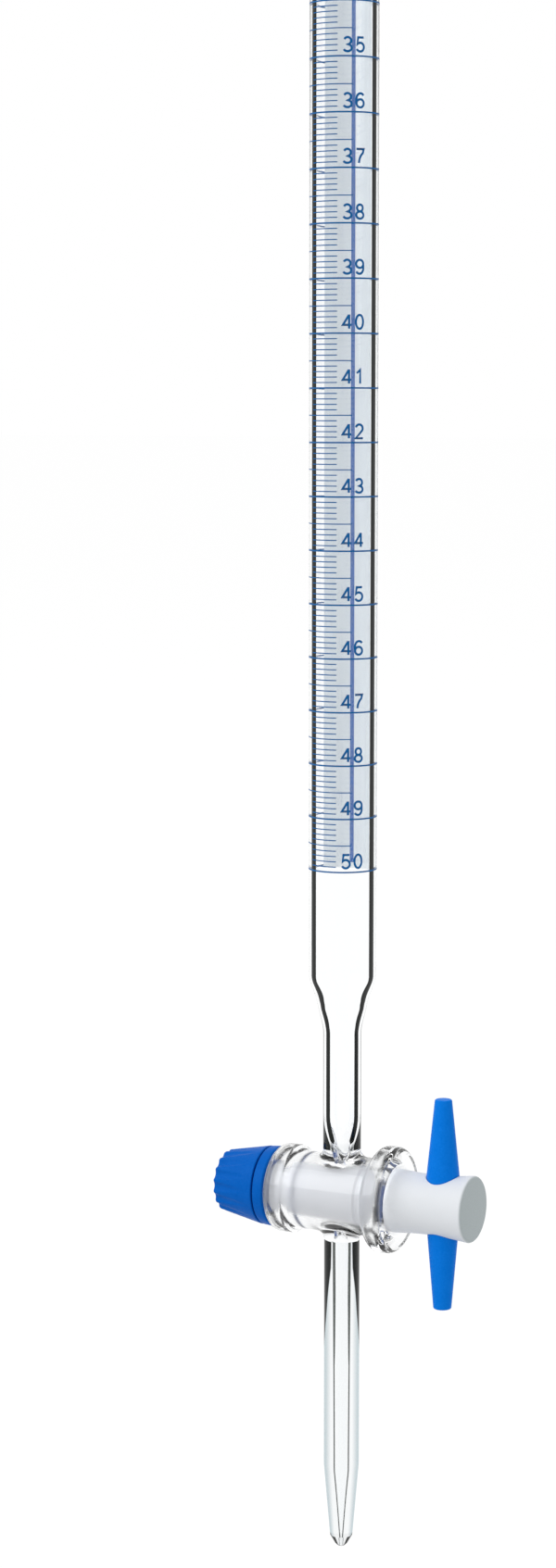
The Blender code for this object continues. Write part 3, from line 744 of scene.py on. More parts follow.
class GlassShape:
    """Outlines of the burette's glass, each as (radius, height) points or as radius by place."""

    def __init__(self):
        self.g = settings().glass
        self.shoulder_z = ZERO_Z - self.g.shoulder_top
        self.neck_z = self.shoulder_z - self.g.shoulder_start - self.g.shoulder_lower
        self.barrel_top = TAP_Z + self.g.barrel_radius
        self.barrel_bottom = TAP_Z - self.g.barrel_radius

    def barrel(self, x):
        """Radius of the barrel's outside, the same at every x."""
        return np.full_like(x, self.g.barrel_radius)

    def seat(self, x):
        """Radius of the key's seat: it falls in a straight line from the head's mouth."""
        return self.g.seat_radius - (BARREL_HIGH.x - x) * self.g.seat_taper

    def shoulder(self, height, top, bottom):
        """Lampworked shoulder: two smooth steps, a quick one and then a gentler one into the neck."""
        down = self.shoulder_z - height
        first = smoothstep(down / self.g.shoulder_upper)
        second = smoothstep((down - self.g.shoulder_start) / self.g.shoulder_lower)
        return top + (bottom - top) * (SHOULDER_STEP * first + (1.0 - SHOULDER_STEP) * second)

    def throat(self, height):
        """Bore of the neck: a smooth step that closes it towards the barrel."""
        g = self.g
        opened = smoothstep((height - self.barrel_top) / g.throat_height)
        return g.neck_throat + (g.neck_bore - g.neck_throat) * opened

    def rim(self):
        """Bead from the bore over its flat land and round belly to the tube."""
        return rounded([(self.g.tube_bore + out * MM, RIM_Z - down * MM, fillet * MM)
                        for out, down, fillet in BEAD])

    def upper_bores(self):
        """From the seat up through the throat, the neck and the shoulder into the tube."""
        g = self.g
        heights = np.linspace(self.neck_z, self.shoulder_z, 33)
        neck = np.linspace(self.barrel_top, self.neck_z - 1.0 * MM, 25)
        return np.concatenate([
            [(g.side_hole, self.barrel_top - 1.2 * MM)],
            np.stack([self.throat(neck), neck], axis=1),
            np.stack([self.shoulder(heights, g.tube_bore, g.neck_bore), heights], axis=1),
        ])

    def upper_outside(self):
        """From the tube down over shoulder and neck to the barrel's fillet."""
        g = self.g
        heights = np.linspace(self.neck_z, self.shoulder_z, 33)[::-1]
        neck_end = (g.neck_radius, self.barrel_top + g.fillet + 0.2 * MM)
        return np.concatenate([
            np.stack([self.shoulder(heights, g.tube_radius, g.neck_radius), heights], axis=1),
            straight((g.neck_radius, self.neck_z), neck_end, 24)[1:],
        ])

    def bore_share(self, height):
        """Bore over outer radius at heights of the tube, shoulder and neck."""
        g = self.g
        wide = self.shoulder(height, g.tube_bore, g.neck_bore)
        bore = np.where(height > self.neck_z, wide, self.throat(height))
        return bore / self.shoulder(height, g.tube_radius, g.neck_radius)

    def jet_outside(self):
        """From the barrel down over stub, jet and taper, and round the ground and melted tip."""
        g = self.g
        tip, seal = JET_LOW.z, (g.jet_radius, JET_HIGH.z)
        taper = tip + g.jet_taper
        end = rounded([
            (g.jet_radius, taper + 1.0 * MM, 0.0),
            (g.jet_radius, taper, 14.0 * MM),
            *[(radius * MM, tip + up * MM, fillet * MM) for radius, up, fillet in JET_TIP],
            (g.jet_hole, tip, 0.0),
        ])
        return np.concatenate([
            straight((g.jet_radius, self.barrel_bottom - 1.4 * MM), seal),
            straight(seal, end[0], 24)[1:],
            end[1:],
        ])

    def jet_inside(self):
        """From the tip up through the fine hole and the bore to the barrel's hole."""
        g = self.g
        tip = JET_LOW.z
        taper = tip + g.jet_taper
        return np.concatenate([
            straight((g.jet_hole, tip), (g.jet_hole, tip + 2.27 * MM), 2),
            rounded([(g.jet_hole, tip + 2.3 * MM, 0.0), (g.jet_lower_bore, taper - 1.8 * MM, 8.0 * MM),
                     (g.jet_lower_bore, taper + 4.0 * MM, 0.0)]),
            straight((g.jet_bore, JET_HIGH.z), (g.jet_bore, self.barrel_bottom - 1.2 * MM)),
            [(g.side_hole, self.barrel_bottom)],
        ])

    def head_end(self):
        """Ring of the head's flange: out of the seat, over the face and flange, to the barrel."""
        g = self.g
        face, flange = BARREL_HIGH.x, g.head_flange
        return rounded([
            (self.seat(HEAD_ROOT), HEAD_ROOT, 0.0),
            (self.seat(face - 0.7 * MM), face - 0.7 * MM, 0.0),
            (g.seat_radius + 0.7 * MM, face, 0.25 * MM),
            (flange, face, 1.3 * MM),
            (flange, face - 3.6 * MM, 1.3 * MM),
            (g.barrel_radius, HEAD_ROOT + 0.05 * MM, 1.1 * MM),
            (g.barrel_radius, HEAD_ROOT, 0.0),
        ])

    def nut_end(self):
        """Ring of the nut's flange: from the barrel over flange and face, into the seat."""
        g = self.g
        face, flange = BARREL_LOW.x, g.nut_flange
        return rounded([
            (g.barrel_radius, NUT_ROOT, 0.0),
            (g.barrel_radius, NUT_ROOT - 0.1 * MM, 0.0),
            (flange, face + 4.0 * MM, 0.8 * MM),
            (flange, face, 1.3 * MM),
            (self.seat(face), face, 0.25 * MM),
            (self.seat(NUT_ROOT), NUT_ROOT, 0.0),
        ])


class BURETTE_OT_glass(bpy.types.Operator):
    """Tube, shoulder, neck, barrel and jet as one closed glass skin: outlines turned about their axes"""
    bl_idname = "burette.glass"
    bl_label = "Glass"

    def execute(self, context):
        shape = GlassShape()
        g = shape.g
        skin = Skin()
        wall, bore, seat = 0, 1, 2

        plain = (1.0, OPEN_SKY, 1.0, BORE_LINE)
        rim, outer = shape.rim(), shape.upper_outside()
        bead = (np.arange(len(rim)) > np.argmax(rim[:, 1])) & (rim[:, 1] < RIM_Z - 0.2 * MM)
        rim_share = np.where(bead, g.tube_bore / rim[:, 0], 1.0)
        rim_facing = np.where(bead, upright_facing(rim, 0.0, STEEPEST_BEAD), 1.0)
        seat_up = barrel_patch(shape.seat, g.side_hole, 1.0)[::-1]
        bores = np.concatenate([
            seat_up[-2:-1], branch_rows(shape.seat, g.side_hole, 1.0), about_z(shape.upper_bores(), ROUND)])
        joint = branch_rows(shape.barrel, g.neck_radius, 1.0, g.fillet, 10)
        top_half = barrel_patch(shape.barrel, g.neck_radius + g.fillet, 1.0)[1:]
        add_glass(
            skin,
            (seat_up[:-2], seat, *plain),
            (bores, bore, *plain),
            (about_z(rim, ROUND), wall, rim_share, TUBE_REACH, rim_facing, BORE_LINE),
            (about_z(outer, ROUND), wall, shape.bore_share(outer[:, 1]), TUBE_REACH,
             upright_facing(outer, NECK_TILT), BORE_LINE),
            (np.concatenate([joint, top_half]), wall, *plain),
        )

        plain = (1.0, OPEN_SKY, 1.0, 0.0)
        outside, inside = shape.jet_outside(), shape.jet_inside()
        down = (JET_HIGH.z - outside[:, 1]) / (JET_HIGH.z - JET_LOW.z)
        bevel = outside[:, 1] < JET_LOW.z + 2.3 * MM
        jet_bore = np.interp(outside[:, 1], inside[:-1, 1], inside[:-1, 0])
        jet_reach = np.where(bevel, BEVEL_REACH, np.interp(down, JET_DOWN, JET_REACH))
        jet_tilt = np.interp(down, (0.4, 1.0), (JET_TILT, TIP_TILT))
        jet_facing = upright_facing(outside, jet_tilt, np.where(bevel, STEEPEST_BEVEL, STEEPEST_WALL))
        bottom_half = barrel_patch(shape.barrel, g.jet_radius + g.fillet, -1.0)[:0:-1]
        joint = branch_rows(shape.barrel, g.jet_radius, -1.0, g.fillet, 10)[::-1]
        seat_down = barrel_patch(shape.seat, g.side_hole, -1.0)[1:]
        add_glass(
            skin,
            (np.concatenate([bottom_half, joint]), wall, *plain),
            (about_z(outside, ROUND), wall, np.minimum(jet_bore / outside[:, 0], 1.0), jet_reach,
             jet_facing, np.interp(down, JET_DOWN, JET_LINE)),
            (about_z(inside, ROUND), bore, *plain),
            (np.concatenate([branch_rows(shape.seat, g.side_hole, -1.0), seat_down]), seat, *plain),
        )

        for outline in (shape.head_end(), shape.nut_end()):
            flat = np.abs(np.gradient(outline[:, 1])) < 0.3 * np.abs(np.gradient(outline[:, 0]))
            clear = flat | (outline[:, 0] < g.barrel_radius + 0.2 * MM)
            in_seat = outline[:, 0] < g.seat_radius + 0.1 * MM
            slots = np.where(in_seat & np.append(in_seat[1:], False), seat, wall)
            add_glass(skin, (about_x(outline, ROUND_BARREL), slots, 1.0,
                             np.where(clear, OPEN_SKY, FLANGE_REACH), 1.0, BORE_LINE))

        glass = skin.finish("burette_glass", glass_wall(), glass_bore(), ground_seat(), sharp=50.0)
        dress(glass, "burette", "glass", "graduated_tube", "stopcock_barrel", "delivery_jet")
        return {"FINISHED"}


# Print: thin strips on the outside of the tube


def on_tube(angle, height, lift):
    """Point on the tube at an angle from -Y, a height and a lift above the glass."""
    radius = settings().glass.tube_radius + PRINT_LIFT + lift
    return np.stack(np.broadcast_arrays(radius * np.sin(angle), -radius * np.cos(angle), height), axis=-1)


def lines_mesh(heights, start, stop, steps, thick):
    """Points and faces of many level lines: a strip of four edges carried round the tube.

    All lines share one grid of (line, angle, edge); open lines get a face at each end.
    """
    p = settings().print
    closed = stop - start >= 2 * np.pi - 1e-6
    count = steps if closed else steps + 1
    angles = start + (stop - start) * np.arange(count) / steps
    edge_height = np.array([-0.5, -0.5, 0.5, 0.5]) * thick
    edge_lift = np.array([0.0, 1.0, 1.0, 0.0]) * p.film
    beside = p.band_half + p.hop - np.abs(angles - p.band_at)
    lift = edge_lift[None, None, :] + (p.over_band * smoothstep(beside / p.hop))[None, :, None]
    points = on_tube(angles[None, :, None], heights[:, None, None] + edge_height, lift)
    strip = quads(count, 4, close_rows=closed)
    if not closed:
        ends = np.array([[0, 1, 2, 3], [3, 2, 1, 0]]) + np.array([[0], [(count - 1) * 4]])
        strip = np.concatenate([strip, ends])
    faces = strip[None] + (np.arange(len(heights)) * count * 4)[:, None, None]
    return points.reshape(-1, 3), faces.reshape(-1, 4)


def print_piece(name, pieces, material):
    """One object of the print from its (points, faces) pieces."""
    starts = np.cumsum([0] + [len(piece[0]) for piece in pieces[:-1]])
    points = np.concatenate([piece[0] for piece in pieces])
    faces = np.concatenate([piece[1] + start for piece, start in zip(pieces, starts)])
    mesh = new_mesh(name, points, faces, material)
    smooth(mesh, 40.0)
    dress(put(name, mesh), "burette", "glass")


class BURETTE_OT_graduation(bpy.types.Operator):
    """Rings at each millilitre, half lines and short lines between them, as strips on the tube"""
    bl_idname = "burette.graduation"
    bl_label = "Graduation"

    def execute(self, context):
        p = settings().print
        tenths = np.arange(p.capacity * 10 + 1)
        heights = ZERO_Z - tenths * p.pitch / 10
        whole = tenths % 10 == 0
        half = tenths % 10 == 5
        pieces = [
            lines_mesh(heights[whole], 0.0, 2 * np.pi, 96, p.line),
            lines_mesh(heights[half], p.half_from, p.half_to, 24, p.short_line),
            lines_mesh(heights[~(whole | half)], p.minor_from, p.minor_to, 12, p.short_line),
        ]
        blue = fused_print("graduation_blue", settings().colours.print_blue)
        print_piece("graduation_lines", pieces, blue)
        return {"FINISHED"}


# Numbers: each sign is a few pen strokes in a box one high


def stroke(*parts):
    """Points and curves of one pen stroke, joined."""
    return np.concatenate([np.atleast_2d(np.asarray(part, float)) for part in parts])


def pen_signs():
    """Strokes of the figures and of the few signs that a volume needs, and each one's width."""
    six_stem = stroke(bow(0.33, 0.60, 0.27, 0.35, 38, 180), (0.06, 0.31))
    six_bowl = bow(0.31, 0.31, 0.25, 0.26, 180, 540, 24)
    three = stroke(bow(0.30, 0.72, 0.22, 0.23, 155, -90, 12), bow(0.30, 0.27, 0.26, 0.22, 80, -155, 14))
    middle = np.array([0.62, 1.0])
    figures = [
        [bow(0.31, 0.5, 0.25, 0.45, 0, 360, 28)],
        [stroke((0.14, 0.72), (0.36, 0.95), (0.36, 0.05))],
        [stroke(bow(0.31, 0.69, 0.24, 0.26, 165, -32), (0.07, 0.05), (0.57, 0.05))],
        [three],
        [stroke((0.43, 0.95), (0.05, 0.30), (0.60, 0.30)), stroke((0.44, 0.97), (0.44, 0.05))],
        [stroke((0.54, 0.95), (0.16, 0.95), (0.10, 0.50), bow(0.30, 0.33, 0.26, 0.28, 122, -152))],
        [six_stem, six_bowl],
        [stroke((0.07, 0.95), (0.57, 0.95), bow(0.86, 0.05, 0.62, 0.78, 125, 180, 8))],
        [bow(0.31, 0.73, 0.20, 0.22, -90, 270, 22), bow(0.31, 0.27, 0.25, 0.23, 90, 450, 24)],
        [middle - six_stem, middle - six_bowl],
    ]
    return {
        **{str(number): (0.74, strokes) for number, strokes in enumerate(figures)},
        ".": (0.28, [stroke((0.14, 0.05), (0.14, 0.13))]),
        "m": (0.86, [stroke((0.10, 0.05), (0.10, 0.68)),
                     stroke(bow(0.265, 0.50, 0.165, 0.17, 180, 0, 8), (0.43, 0.05)),
                     stroke(bow(0.595, 0.50, 0.165, 0.17, 180, 0, 8), (0.76, 0.05))]),
        "l": (0.26, [stroke((0.13, 0.05), (0.13, 0.98))]),
        "°": (0.34, [bow(0.17, 0.85, 0.10, 0.10, 0, 360, 12)]),
        "C": (0.70, [bow(0.36, 0.5, 0.28, 0.45, 48, 312, 22)]),
        "±": (0.62, [stroke((0.08, 0.52), (0.54, 0.52)), stroke((0.31, 0.74), (0.31, 0.30)),
                     stroke((0.08, 0.10), (0.54, 0.10))]),
        " ": (0.30, []),
    }


def ribbon(line, pen, film):
    """A stroke as a closed strip: offset to both sides by half the pen along the corner's bisector."""
    closed = np.allclose(line[0], line[-1])
    core = line[:-1] if closed else line
    if closed:
        forward = np.roll(core, -1, axis=0) - core
        backward = core - np.roll(core, 1, axis=0)
    else:
        steps = np.diff(core, axis=0)
        forward = np.concatenate([steps, steps[-1:]])
        backward = np.concatenate([steps[:1], steps])
    forward /= np.linalg.norm(forward, axis=1, keepdims=True)
    backward /= np.linalg.norm(backward, axis=1, keepdims=True)
    ahead = forward + backward
    ahead /= np.maximum(np.linalg.norm(ahead, axis=1, keepdims=True), 1e-9)
    across = np.stack([-ahead[:, 1], ahead[:, 0]], axis=1)
    stretch = 1.0 / np.maximum(np.abs((ahead * forward).sum(axis=1, keepdims=True)), 0.5)
    left, right = core + across * stretch * pen / 2, core - across * stretch * pen / 2
    flat = np.stack([right, right, left, left], axis=1)
    lift = np.broadcast_to(np.array([0.0, 1.0, 1.0, 0.0]) * film, flat.shape[:2])
    faces = quads(len(core), 4, close_rows=closed)
    if not closed:
        last = (len(core) - 1) * 4
        faces = np.concatenate([faces, [[0, 1, 2, 3], [last + 3, last + 2, last + 1, last]]])
    return flat, lift, faces


def written(text, height, pen, left, base, gap=0.0, centred=False):
    """Strokes of a text laid round the tube: across the page becomes angle, up the page height.

    A sign's strokes lie one above the other, so that no two share a face where they cross.
    """
    signs = pen_signs()
    width = sum(signs[sign][0] for sign in text) * height
    cursor = -width / 2 if centred else 0.0
    radius, film = settings().glass.tube_radius, settings().print.film
    inset = pen / height
    pieces = []
    for sign in text:
        advance, strokes = signs[sign]
        for layer, line in enumerate(strokes):
            fitted = np.stack([line[:, 0], inset / 2 + (line[:, 1] - 0.05) / 0.9 * (1.0 - inset)], axis=1)
            flat, lift, faces = ribbon(fitted * height, pen, film * (1.0 + 0.12 * layer))
            angle = left + (cursor + flat[..., 0]) / radius
            pieces.append((on_tube(angle, base + flat[..., 1], lift).reshape(-1, 3), faces))
        cursor += advance * height + gap
    return pieces


class BURETTE_OT_numbers(bpy.types.Operator):
    """A number above each millilitre ring, as pen strokes laid round the tube"""
    bl_idname = "burette.numbers"
    bl_label = "Numbers"

    def execute(self, context):
        p = settings().print
        pieces = []
        for number in range(p.capacity + 1):
            base = ZERO_Z - number * p.pitch + p.number_lift
            pieces += written(str(number), p.number_height, p.number_pen, p.number_from, base, p.number_gap)
        print_piece("scale_numbers", pieces, fused_print("number_blue", settings().colours.print_blue))
        return {"FINISHED"}


# Rows of the label: text, height, width of the pen and height above the zero ring, in millimetres
LABEL_ROWS = (
    ("50", 5.9, 1.15, 30.9),
    ("0.1ml", 3.9, 0.34, 24.2),
    ("20°C", 2.5, 0.22, 11.9),
    ("± 0.05", 2.5, 0.22, 8.1),
    ("ml", 2.3, 0.22, 4.4),
)


class BURETTE_OT_label(bpy.types.Operator):
    """Volume, step, temperature and tolerance above the scale, as pen strokes laid round the tube"""
    bl_idname = "burette.label"
    bl_label = "Label"

    def execute(self, context):
        p = settings().print
        pieces = []
        for text, height, pen, up in LABEL_ROWS:
            pieces += written(text, height * MM, pen * MM, p.label_at, ZERO_Z + up * MM, centred=True)
        half = p.rule / 2 / settings().glass.tube_radius
        rule = np.array([ZERO_Z + p.rule_up])
        pieces.append(lines_mesh(rule, p.label_at - half, p.label_at + half, 16, p.line))
        print_piece("volume_label", pieces, fused_print("label_blue", settings().colours.print_blue))
        return {"FINISHED"}


def shell(middle, half_width, top, bottom, inside, outside):
    """Closed curved plate on the tube, from one lift to another.

    top and bottom are its heights at even angles from side to side. The plate's two sides are
    closed with quads from face to face.
    """
    angles = middle + half_width * np.linspace(-1.0, 1.0, len(top))
    heights = straight(top[None], bottom[None], 2)
    outer, inner = [on_tube(angles, heights, lift) for lift in (outside, inside)]
    grid = np.concatenate([outer, inner[::-1]])
    rows, columns = grid.shape[:2]
    index = np.arange(rows * columns).reshape(rows, columns)
    half = rows // 2
    faces = [quads(rows, columns, close_rows=True, close_columns=False)]
    for column, order in ((0, (0, 1, 2, 3)), (-1, (0, 3, 2, 1))):
        edge = index[:, column]
        corners = [edge[:half - 1], edge[:half:-1], edge[rows - 2:half - 1:-1], edge[1:half]]
        faces.append(np.stack([corners[turn] for turn in order], axis=1))
    return grid.reshape(-1, 3), np.concatenate(faces)


class BURETTE_OT_band(bpy.types.Operator):
    """White band on the back of the tube and a blue line down its middle, as curved plates"""
    bl_idname = "burette.band"
    bl_label = "Rear band"

    def execute(self, context):
        p = settings().print
        last = ZERO_Z - p.capacity * p.pitch
        arch = np.cos(np.linspace(-1.0, 1.0, 65) * np.pi / 2)
        band = shell(p.band_at, p.band_half, ZERO_Z + p.band_arch * arch,
                     last - p.band_below - p.band_foot * arch, p.band_under, p.band_over)
        print_piece("rear_band", [band], white_enamel())
        level = np.ones(7)
        stripe = shell(p.band_at, p.stripe / 2 / settings().glass.tube_radius,
                       level * (ZERO_Z + p.stripe_above), level * (last + p.stripe_end), 0.0, p.stripe_over)
        print_piece("blue_stripe", [stripe], fused_print("stripe_blue", settings().colours.stripe))
        return {"FINISHED"}


# Tap


def cut(obj, cutter):
    """Take a closed cutter out of a piece, for good, and remove the cutter."""
    modifier = obj.modifiers.new("cut", "BOOLEAN")
    modifier.operation = "DIFFERENCE"
    modifier.solver = "EXACT"
    modifier.object = cutter
    bpy.context.view_layer.update()
    result = bpy.data.meshes.new_from_object(obj.evaluated_get(bpy.context.evaluated_depsgraph_get()))
    obj.modifiers.clear()
    obj.data = result
    bpy.data.objects.remove(cutter)


def thread_relief(depth, x_from, x_to):
    """Screw thread as a change of radius: a triangle wave of x / pitch + angle / full turn.

    It fades out within one pitch of both ends.
    """
    pitch = settings().tap.pitch

    def change(x, turn):
        phase = np.mod(x / pitch + turn / (2 * np.pi), 1.0)
        wave = np.abs(2.0 * phase - 1.0) - 1.0
        return depth * wave * smoothstep(np.minimum(x - x_from, x_to - x) / pitch)
    return change


def handle_profile(grow=0.0):
    """Handle bar, thickest in the head, as (radius, height above the tap's axis)."""
    t = settings().tap
    upper, lower = HANDLE_HIGH.z - TAP_Z, HANDLE_LOW.z - TAP_Z
    return rounded([
        (0.0, upper, 0.0),
        (t.handle_upper_end + grow, upper, 0.35 * MM),
        (t.handle_upper_root + grow, t.handle_root, t.handle_bow),
        (t.handle_lower_root + grow, -t.handle_root, t.handle_bow),
        (t.handle_lower_end + grow, lower, 0.35 * MM),
        (0.0, lower, 0.0),
    ], steps=8)


def upright(profile, x, columns, name, material):
    """A profile turned about a vertical axis through the tap's axis at x."""
    grid = about_z(profile, columns) + np.array([x, 0.0, TAP_Z])
    return Skin().add(grid).finish(name, material)


class BURETTE_OT_key(bpy.types.Operator):
    """PTFE key: an outline turned about the tap's axis, less its cross bore and handle hole"""
    bl_idname = "burette.key"
    bl_label = "Key"

    def execute(self, context):
        g, t = settings().glass, settings().tap
        mouth, end, low = BARREL_HIGH.x, KEY_HIGH.x, KEY_LOW.x
        ring_back = RING_LOW.x

        def shank(x):
            return t.head_mouth - (mouth - x) * g.seat_taper

        head_x = np.linspace(end - 0.9 * MM, mouth, 25)
        share = (head_x - mouth) / (end - mouth)
        head = t.head_mouth + (t.head_end - t.head_mouth) * share - t.waist * np.sin(np.pi * share)
        groove, groove_floor = t.groove_at, shank(t.groove_at) - t.groove_depth
        shank_end = BARREL_LOW.x + 0.5 * MM
        thread_x = np.linspace(ring_back - 0.1 * MM, low + 0.6 * MM, 60)
        outline = np.concatenate([
            rounded([(0.0, end, 0.0), (t.head_end, end, 0.55 * MM), (head[0], head_x[0], 0.0)], steps=8),
            np.stack([head[1:], head_x[1:]], axis=1),
            rounded([
                (shank(groove + 1.3 * MM), groove + 1.3 * MM, 0.0),
                (groove_floor, groove + 0.9 * MM, 0.25 * MM),
                (groove_floor, groove - 0.9 * MM, 0.25 * MM),
                (shank(groove - 1.3 * MM), groove - 1.3 * MM, 0.0),
                (shank(shank_end), shank_end, 0.2 * MM),
                (t.stub, shank_end, 0.0),
                (t.stub, ring_back, 0.1 * MM),
                (t.thread, ring_back, 0.0),
            ], steps=5),
            np.stack([np.full_like(thread_x, t.thread), thread_x], axis=1),
            [(t.thread - 0.6 * MM, low), (0.0, low)],
        ])
        relief = thread_relief(t.key_thread, low + 0.3 * MM, ring_back)

        def change(x, turn):
            return np.where((x < ring_back) & (x > low + 0.1 * MM), relief(x, turn), 0.0)

        ptfe = turned_ptfe()
        key = Skin().add(about_x(outline, ROUND_TAP, change)).finish("ptfe_key", ptfe)
        deep = 12.0 * MM
        bore = np.array([(0.0, deep), (g.side_hole, deep), (g.side_hole, -deep), (0.0, -deep)])
        cut(key, upright(bore, 0.0, 48, "cross_bore", ptfe))
        cut(key, upright(handle_profile(t.handle_play), HANDLE_X, ROUND_HANDLE, "handle_hole", ptfe))
        smooth(key.data, 32.0)
        dress(key, "tap", "ptfe", "tap_plug")
        return {"FINISHED"}


class BURETTE_OT_handle(bpy.types.Operator):
    """Tapered round bar through the key's head: an outline turned about its own upright axis"""
    bl_idname = "burette.handle"
    bl_label = "Handle"

    def execute(self, context):
        blue = moulded_plastic("handle_plastic", settings().colours.handle)
        handle = upright(handle_profile(), HANDLE_X, ROUND_HANDLE, "tap_bar", blue)
        dress(handle, "tap", "blue_plastic", "tap_handle")
        return {"FINISHED"}


class BURETTE_OT_ring(bpy.types.Operator):
    """Smooth collar against the barrel's small flange: a rounded outline turned about the tap's axis"""
    bl_idname = "burette.ring"
    bl_label = "Thrust ring"

    def execute(self, context):
        outer = (RING_HIGH.z - RING_LOW.z) / 2
        hole = settings().tap.stub + 0.2 * MM
        outline = rounded([
            (hole, RING_HIGH.x, 0.0),
            (outer, RING_HIGH.x, 0.35 * MM),
            (outer - 0.2 * MM, RING_LOW.x, 0.18 * MM),
            (hole, RING_LOW.x, 0.0),
        ], steps=8)
        blue = moulded_plastic("collar_plastic", settings().colours.plastic)
        ring = Skin().add(about_x(outline, ROUND_TAP), close_rows=True).finish("collar", blue)
        dress(ring, "tap", "blue_plastic", "thrust_ring")
        return {"FINISHED"}


class BURETTE_OT_seal(bpy.types.Operator):
    """Rubber ring in the nut's pocket: a circle turned about the tap's axis"""
    bl_idname = "burette.seal"
    bl_label = "Seal"

    def execute(self, context):
        cord = (SEAL_HIGH.x - SEAL_LOW.x) / 2
        middle = (SEAL_HIGH.x + SEAL_LOW.x) / 2
        around = (SEAL_HIGH.z - SEAL_LOW.z) / 2 - cord
        outline = bow(around, middle, cord, cord, 90.0, -270.0, 24)[:-1]
        seal = Skin().add(about_x(outline, ROUND_TAP), close_rows=True).finish("rubber_seal", seal_rubber())
        dress(seal, "seal", "seal_rubber", "o_ring")
        return {"FINISHED"}


class BURETTE_OT_nut(bpy.types.Operator):
    """Tapered nut: an outline turned about the tap's axis, with flutes and thread as changes of radius"""
    bl_idname = "burette.nut"
    bl_label = "Nut"

    def execute(self, context):
        t = settings().tap
        large_x, small_x = NUT_HIGH.x, NUT_LOW.x
        span = large_x - small_x
        hole = t.thread + t.play
        pocket = (SEAL_HIGH.z - SEAL_LOW.z) / 2 + t.play
        pocket_x = SEAL_LOW.x - t.play
        body = rounded([
            (pocket, large_x, 0.0),
            (t.nut_large, large_x, 0.22 * MM),
            (t.nut_small, small_x, 0.7 * MM),
            (hole + 0.5 * MM, small_x, 0.0),
        ], steps=8)
        turn_in = np.argmax(body[:, 1] < large_x - 0.5 * MM)
        flank = straight(body[turn_in - 1], body[turn_in], 40)
        outside = np.concatenate([body[:turn_in - 1], flank, body[turn_in + 1:]])
        inside_x = np.linspace(small_x + 0.5 * MM, pocket_x, 50)
        inside = np.stack([np.full_like(inside_x, hole), inside_x], axis=1)
        outline = np.concatenate([outside, inside, [(pocket, pocket_x)]])
        thread = thread_relief(t.nut_thread, small_x + 0.5 * MM, pocket_x)

        def flutes(x, turn):
            """Round tool sunk by d(x): the radius drops by sqrt(a^2 - y^2) - (a - d), where positive."""
            radius = t.nut_large + (t.nut_small - t.nut_large) * (large_x - x) / span
            pitch = 2 * np.pi / t.flutes
            off = (np.mod(turn + pitch / 2, pitch) - pitch / 2) * radius
            depth = t.flute_depth * (1.0 - (x - small_x) / (t.flute_length * span))
            sag = np.sqrt(np.maximum(t.flute_radius ** 2 - off ** 2, 0.0)) - (t.flute_radius - depth)
            return -np.maximum(sag, 0.0)

        def change(x, turn):
            rows = np.arange(x.shape[0])[:, None]
            is_outside = rows < len(outside) - 1
            is_thread = (rows >= len(outside)) & (rows < len(outline) - 1)
            return np.where(is_outside, flutes(x, turn), np.where(is_thread, -thread(x, turn), 0.0))

        grid = about_x(outline, t.flutes * ROUND_FLUTE, change)
        blue = moulded_plastic("nut_plastic", settings().colours.plastic)
        nut = Skin().add(grid, close_rows=True).finish("fluted_nut", blue)
        dress(nut, "nut", "blue_plastic", "tap_nut")
        return {"FINISHED"}


# Stage


def pale_sky():
    """World that is white where the camera, a reflection or glass shows it, and softer as a light.

    A path that has met a matt surface is light, also where it goes on through glass.
    """
    world = bpy.data.worlds.new("pale_sky")
    world.use_nodes = True
    world.node_tree.nodes.clear()
    nodes = Nodes(world.node_tree)
    strength = nodes.between(nodes.in_sight(), SKY_LIGHT, 1.0)
    background = nodes.node("ShaderNodeBackground", Color=WHITE, Strength=strength)
    nodes.node("ShaderNodeOutputWorld", Surface=background.outputs["Background"])
    bpy.context.scene.world = world


def pale_floor():
    """Floor that keeps shadows, with a glow of its own that makes it white to the eye.

    As a light for the object it glows less, like the floor of a studio.
    """
    look = Look("pale_floor", settings().colours.floor, 0.9, Specular_IOR_Level=0.0, Emission_Color=WHITE)
    look.set(Emission_Strength=look.between(look.in_sight(), FLOOR_BOUNCE, FLOOR_GLOW))
    return look.material


def area_lamp(name, place, target, size, power):
    lamp = bpy.data.lights.new(name, "AREA")
    lamp.shape = "DISK"
    lamp.size = size
    lamp.energy = power
    obj = put(name, lamp)
    obj.location = place
    obj.rotation_euler = (Vector(target) - Vector(place)).to_track_quat("-Z", "Y").to_euler()


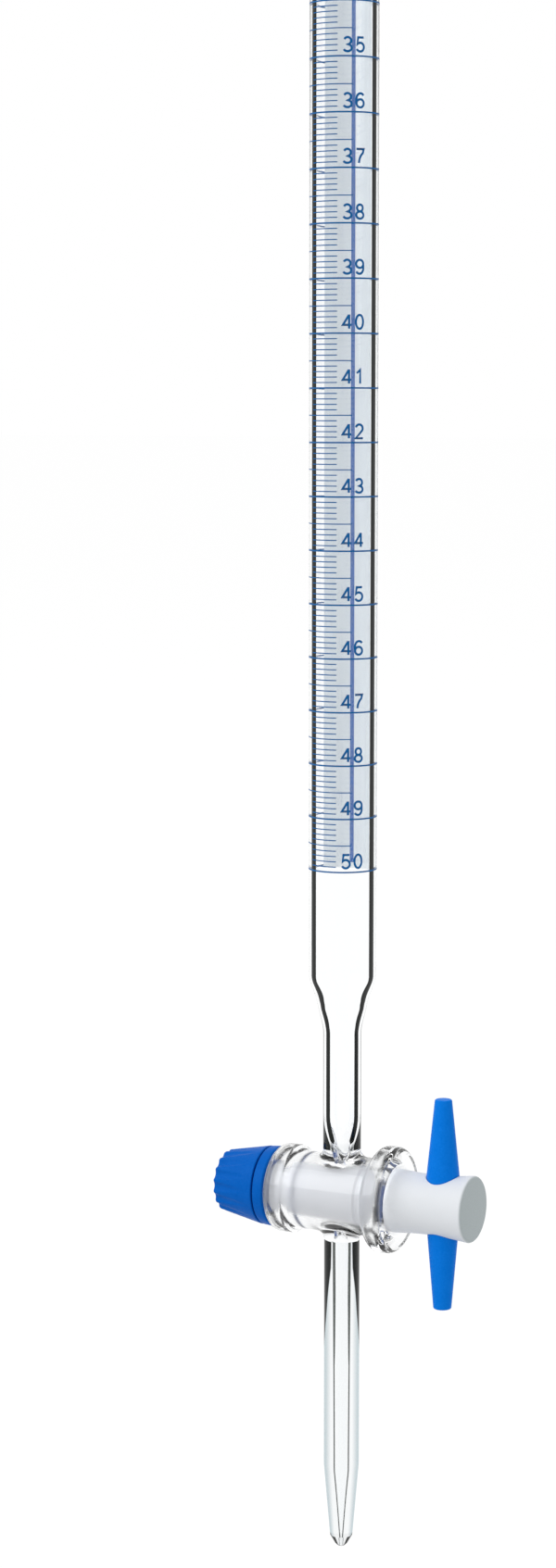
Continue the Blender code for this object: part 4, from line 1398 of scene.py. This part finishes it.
class BURETTE_OT_stage(bpy.types.Operator):
    """Camera of the photograph, pale floor and sky, and one soft lamp"""
    bl_idname = "burette.stage"
    bl_label = "Stage"

    def execute(self, context):
        scene = bpy.context.scene
        scene.view_settings.view_transform = "Standard"
        scene.cycles.blur_glossy = 0.0
        scene.cycles.max_bounces = 24
        scene.cycles.transmission_bounces = 24
        pale_sky()
        bpy.ops.mesh.primitive_plane_add(size=60.0, location=(0.0, 0.0, JET_LOW.z - 100 * MM))
        floor = bpy.context.active_object
        floor.name = "floor"
        floor.data.materials.append(pale_floor())

        camera = bpy.data.cameras.new("camera")
        camera.sensor_fit = "VERTICAL"
        camera.sensor_height = SENSOR
        camera.sensor_width = SENSOR * PICTURE_HEIGHT / PICTURE_WIDTH
        camera.lens = LENS
        camera.clip_start = 0.01
        eye = put("camera", camera)
        across, back = math.cos(AZIMUTH), math.sin(AZIMUTH)
        eye.location = (EYE_DISTANCE * back - EYE_ASIDE * across,
                        -EYE_DISTANCE * across - EYE_ASIDE * back, EYE_Z)
        eye.rotation_euler = (math.pi / 2 - LOOK_DOWN, 0.0, AZIMUTH)
        scene.camera = eye
        area_lamp("key_lamp", place=(-1.2, -1.5, 0.9), target=(0.0, 0.0, -0.55), size=2.4, power=24.0)
        return {"FINISHED"}


PIECES = (
    BURETTE_OT_stage,
    BURETTE_OT_glass,
    BURETTE_OT_graduation,
    BURETTE_OT_numbers,
    BURETTE_OT_label,
    BURETTE_OT_band,
    BURETTE_OT_handle,
    BURETTE_OT_key,
    BURETTE_OT_ring,
    BURETTE_OT_seal,
    BURETTE_OT_nut,
)


class BURETTE_PT_panel(bpy.types.Panel):
    """Lists the burette's pieces in the sidebar"""
    bl_label = "Burette"
    bl_space_type = "VIEW_3D"
    bl_region_type = "UI"
    bl_category = "Burette"

    def draw(self, context):
        for piece in PIECES:
            self.layout.operator(piece.bl_idname)


CLASSES = (GlassSizes, PrintSizes, TapSizes, Colours, BuretteSettings, *PIECES, BURETTE_PT_panel)


def register():
    for kind in CLASSES:
        bpy.utils.register_class(kind)
    bpy.types.Scene.burette = PointerProperty(type=BuretteSettings)


def unregister():
    del bpy.types.Scene.burette
    for kind in reversed(CLASSES):
        bpy.utils.unregister_class(kind)


def main():
    register()
    bpy.ops.burette.stage()
    bpy.ops.burette.glass()
    bpy.ops.burette.graduation()
    bpy.ops.burette.numbers()
    bpy.ops.burette.label()
    bpy.ops.burette.band()
    bpy.ops.burette.handle()
    bpy.ops.burette.key()
    bpy.ops.burette.ring()
    bpy.ops.burette.seal()
    bpy.ops.burette.nut()


if __name__ == "__main__":
    main()
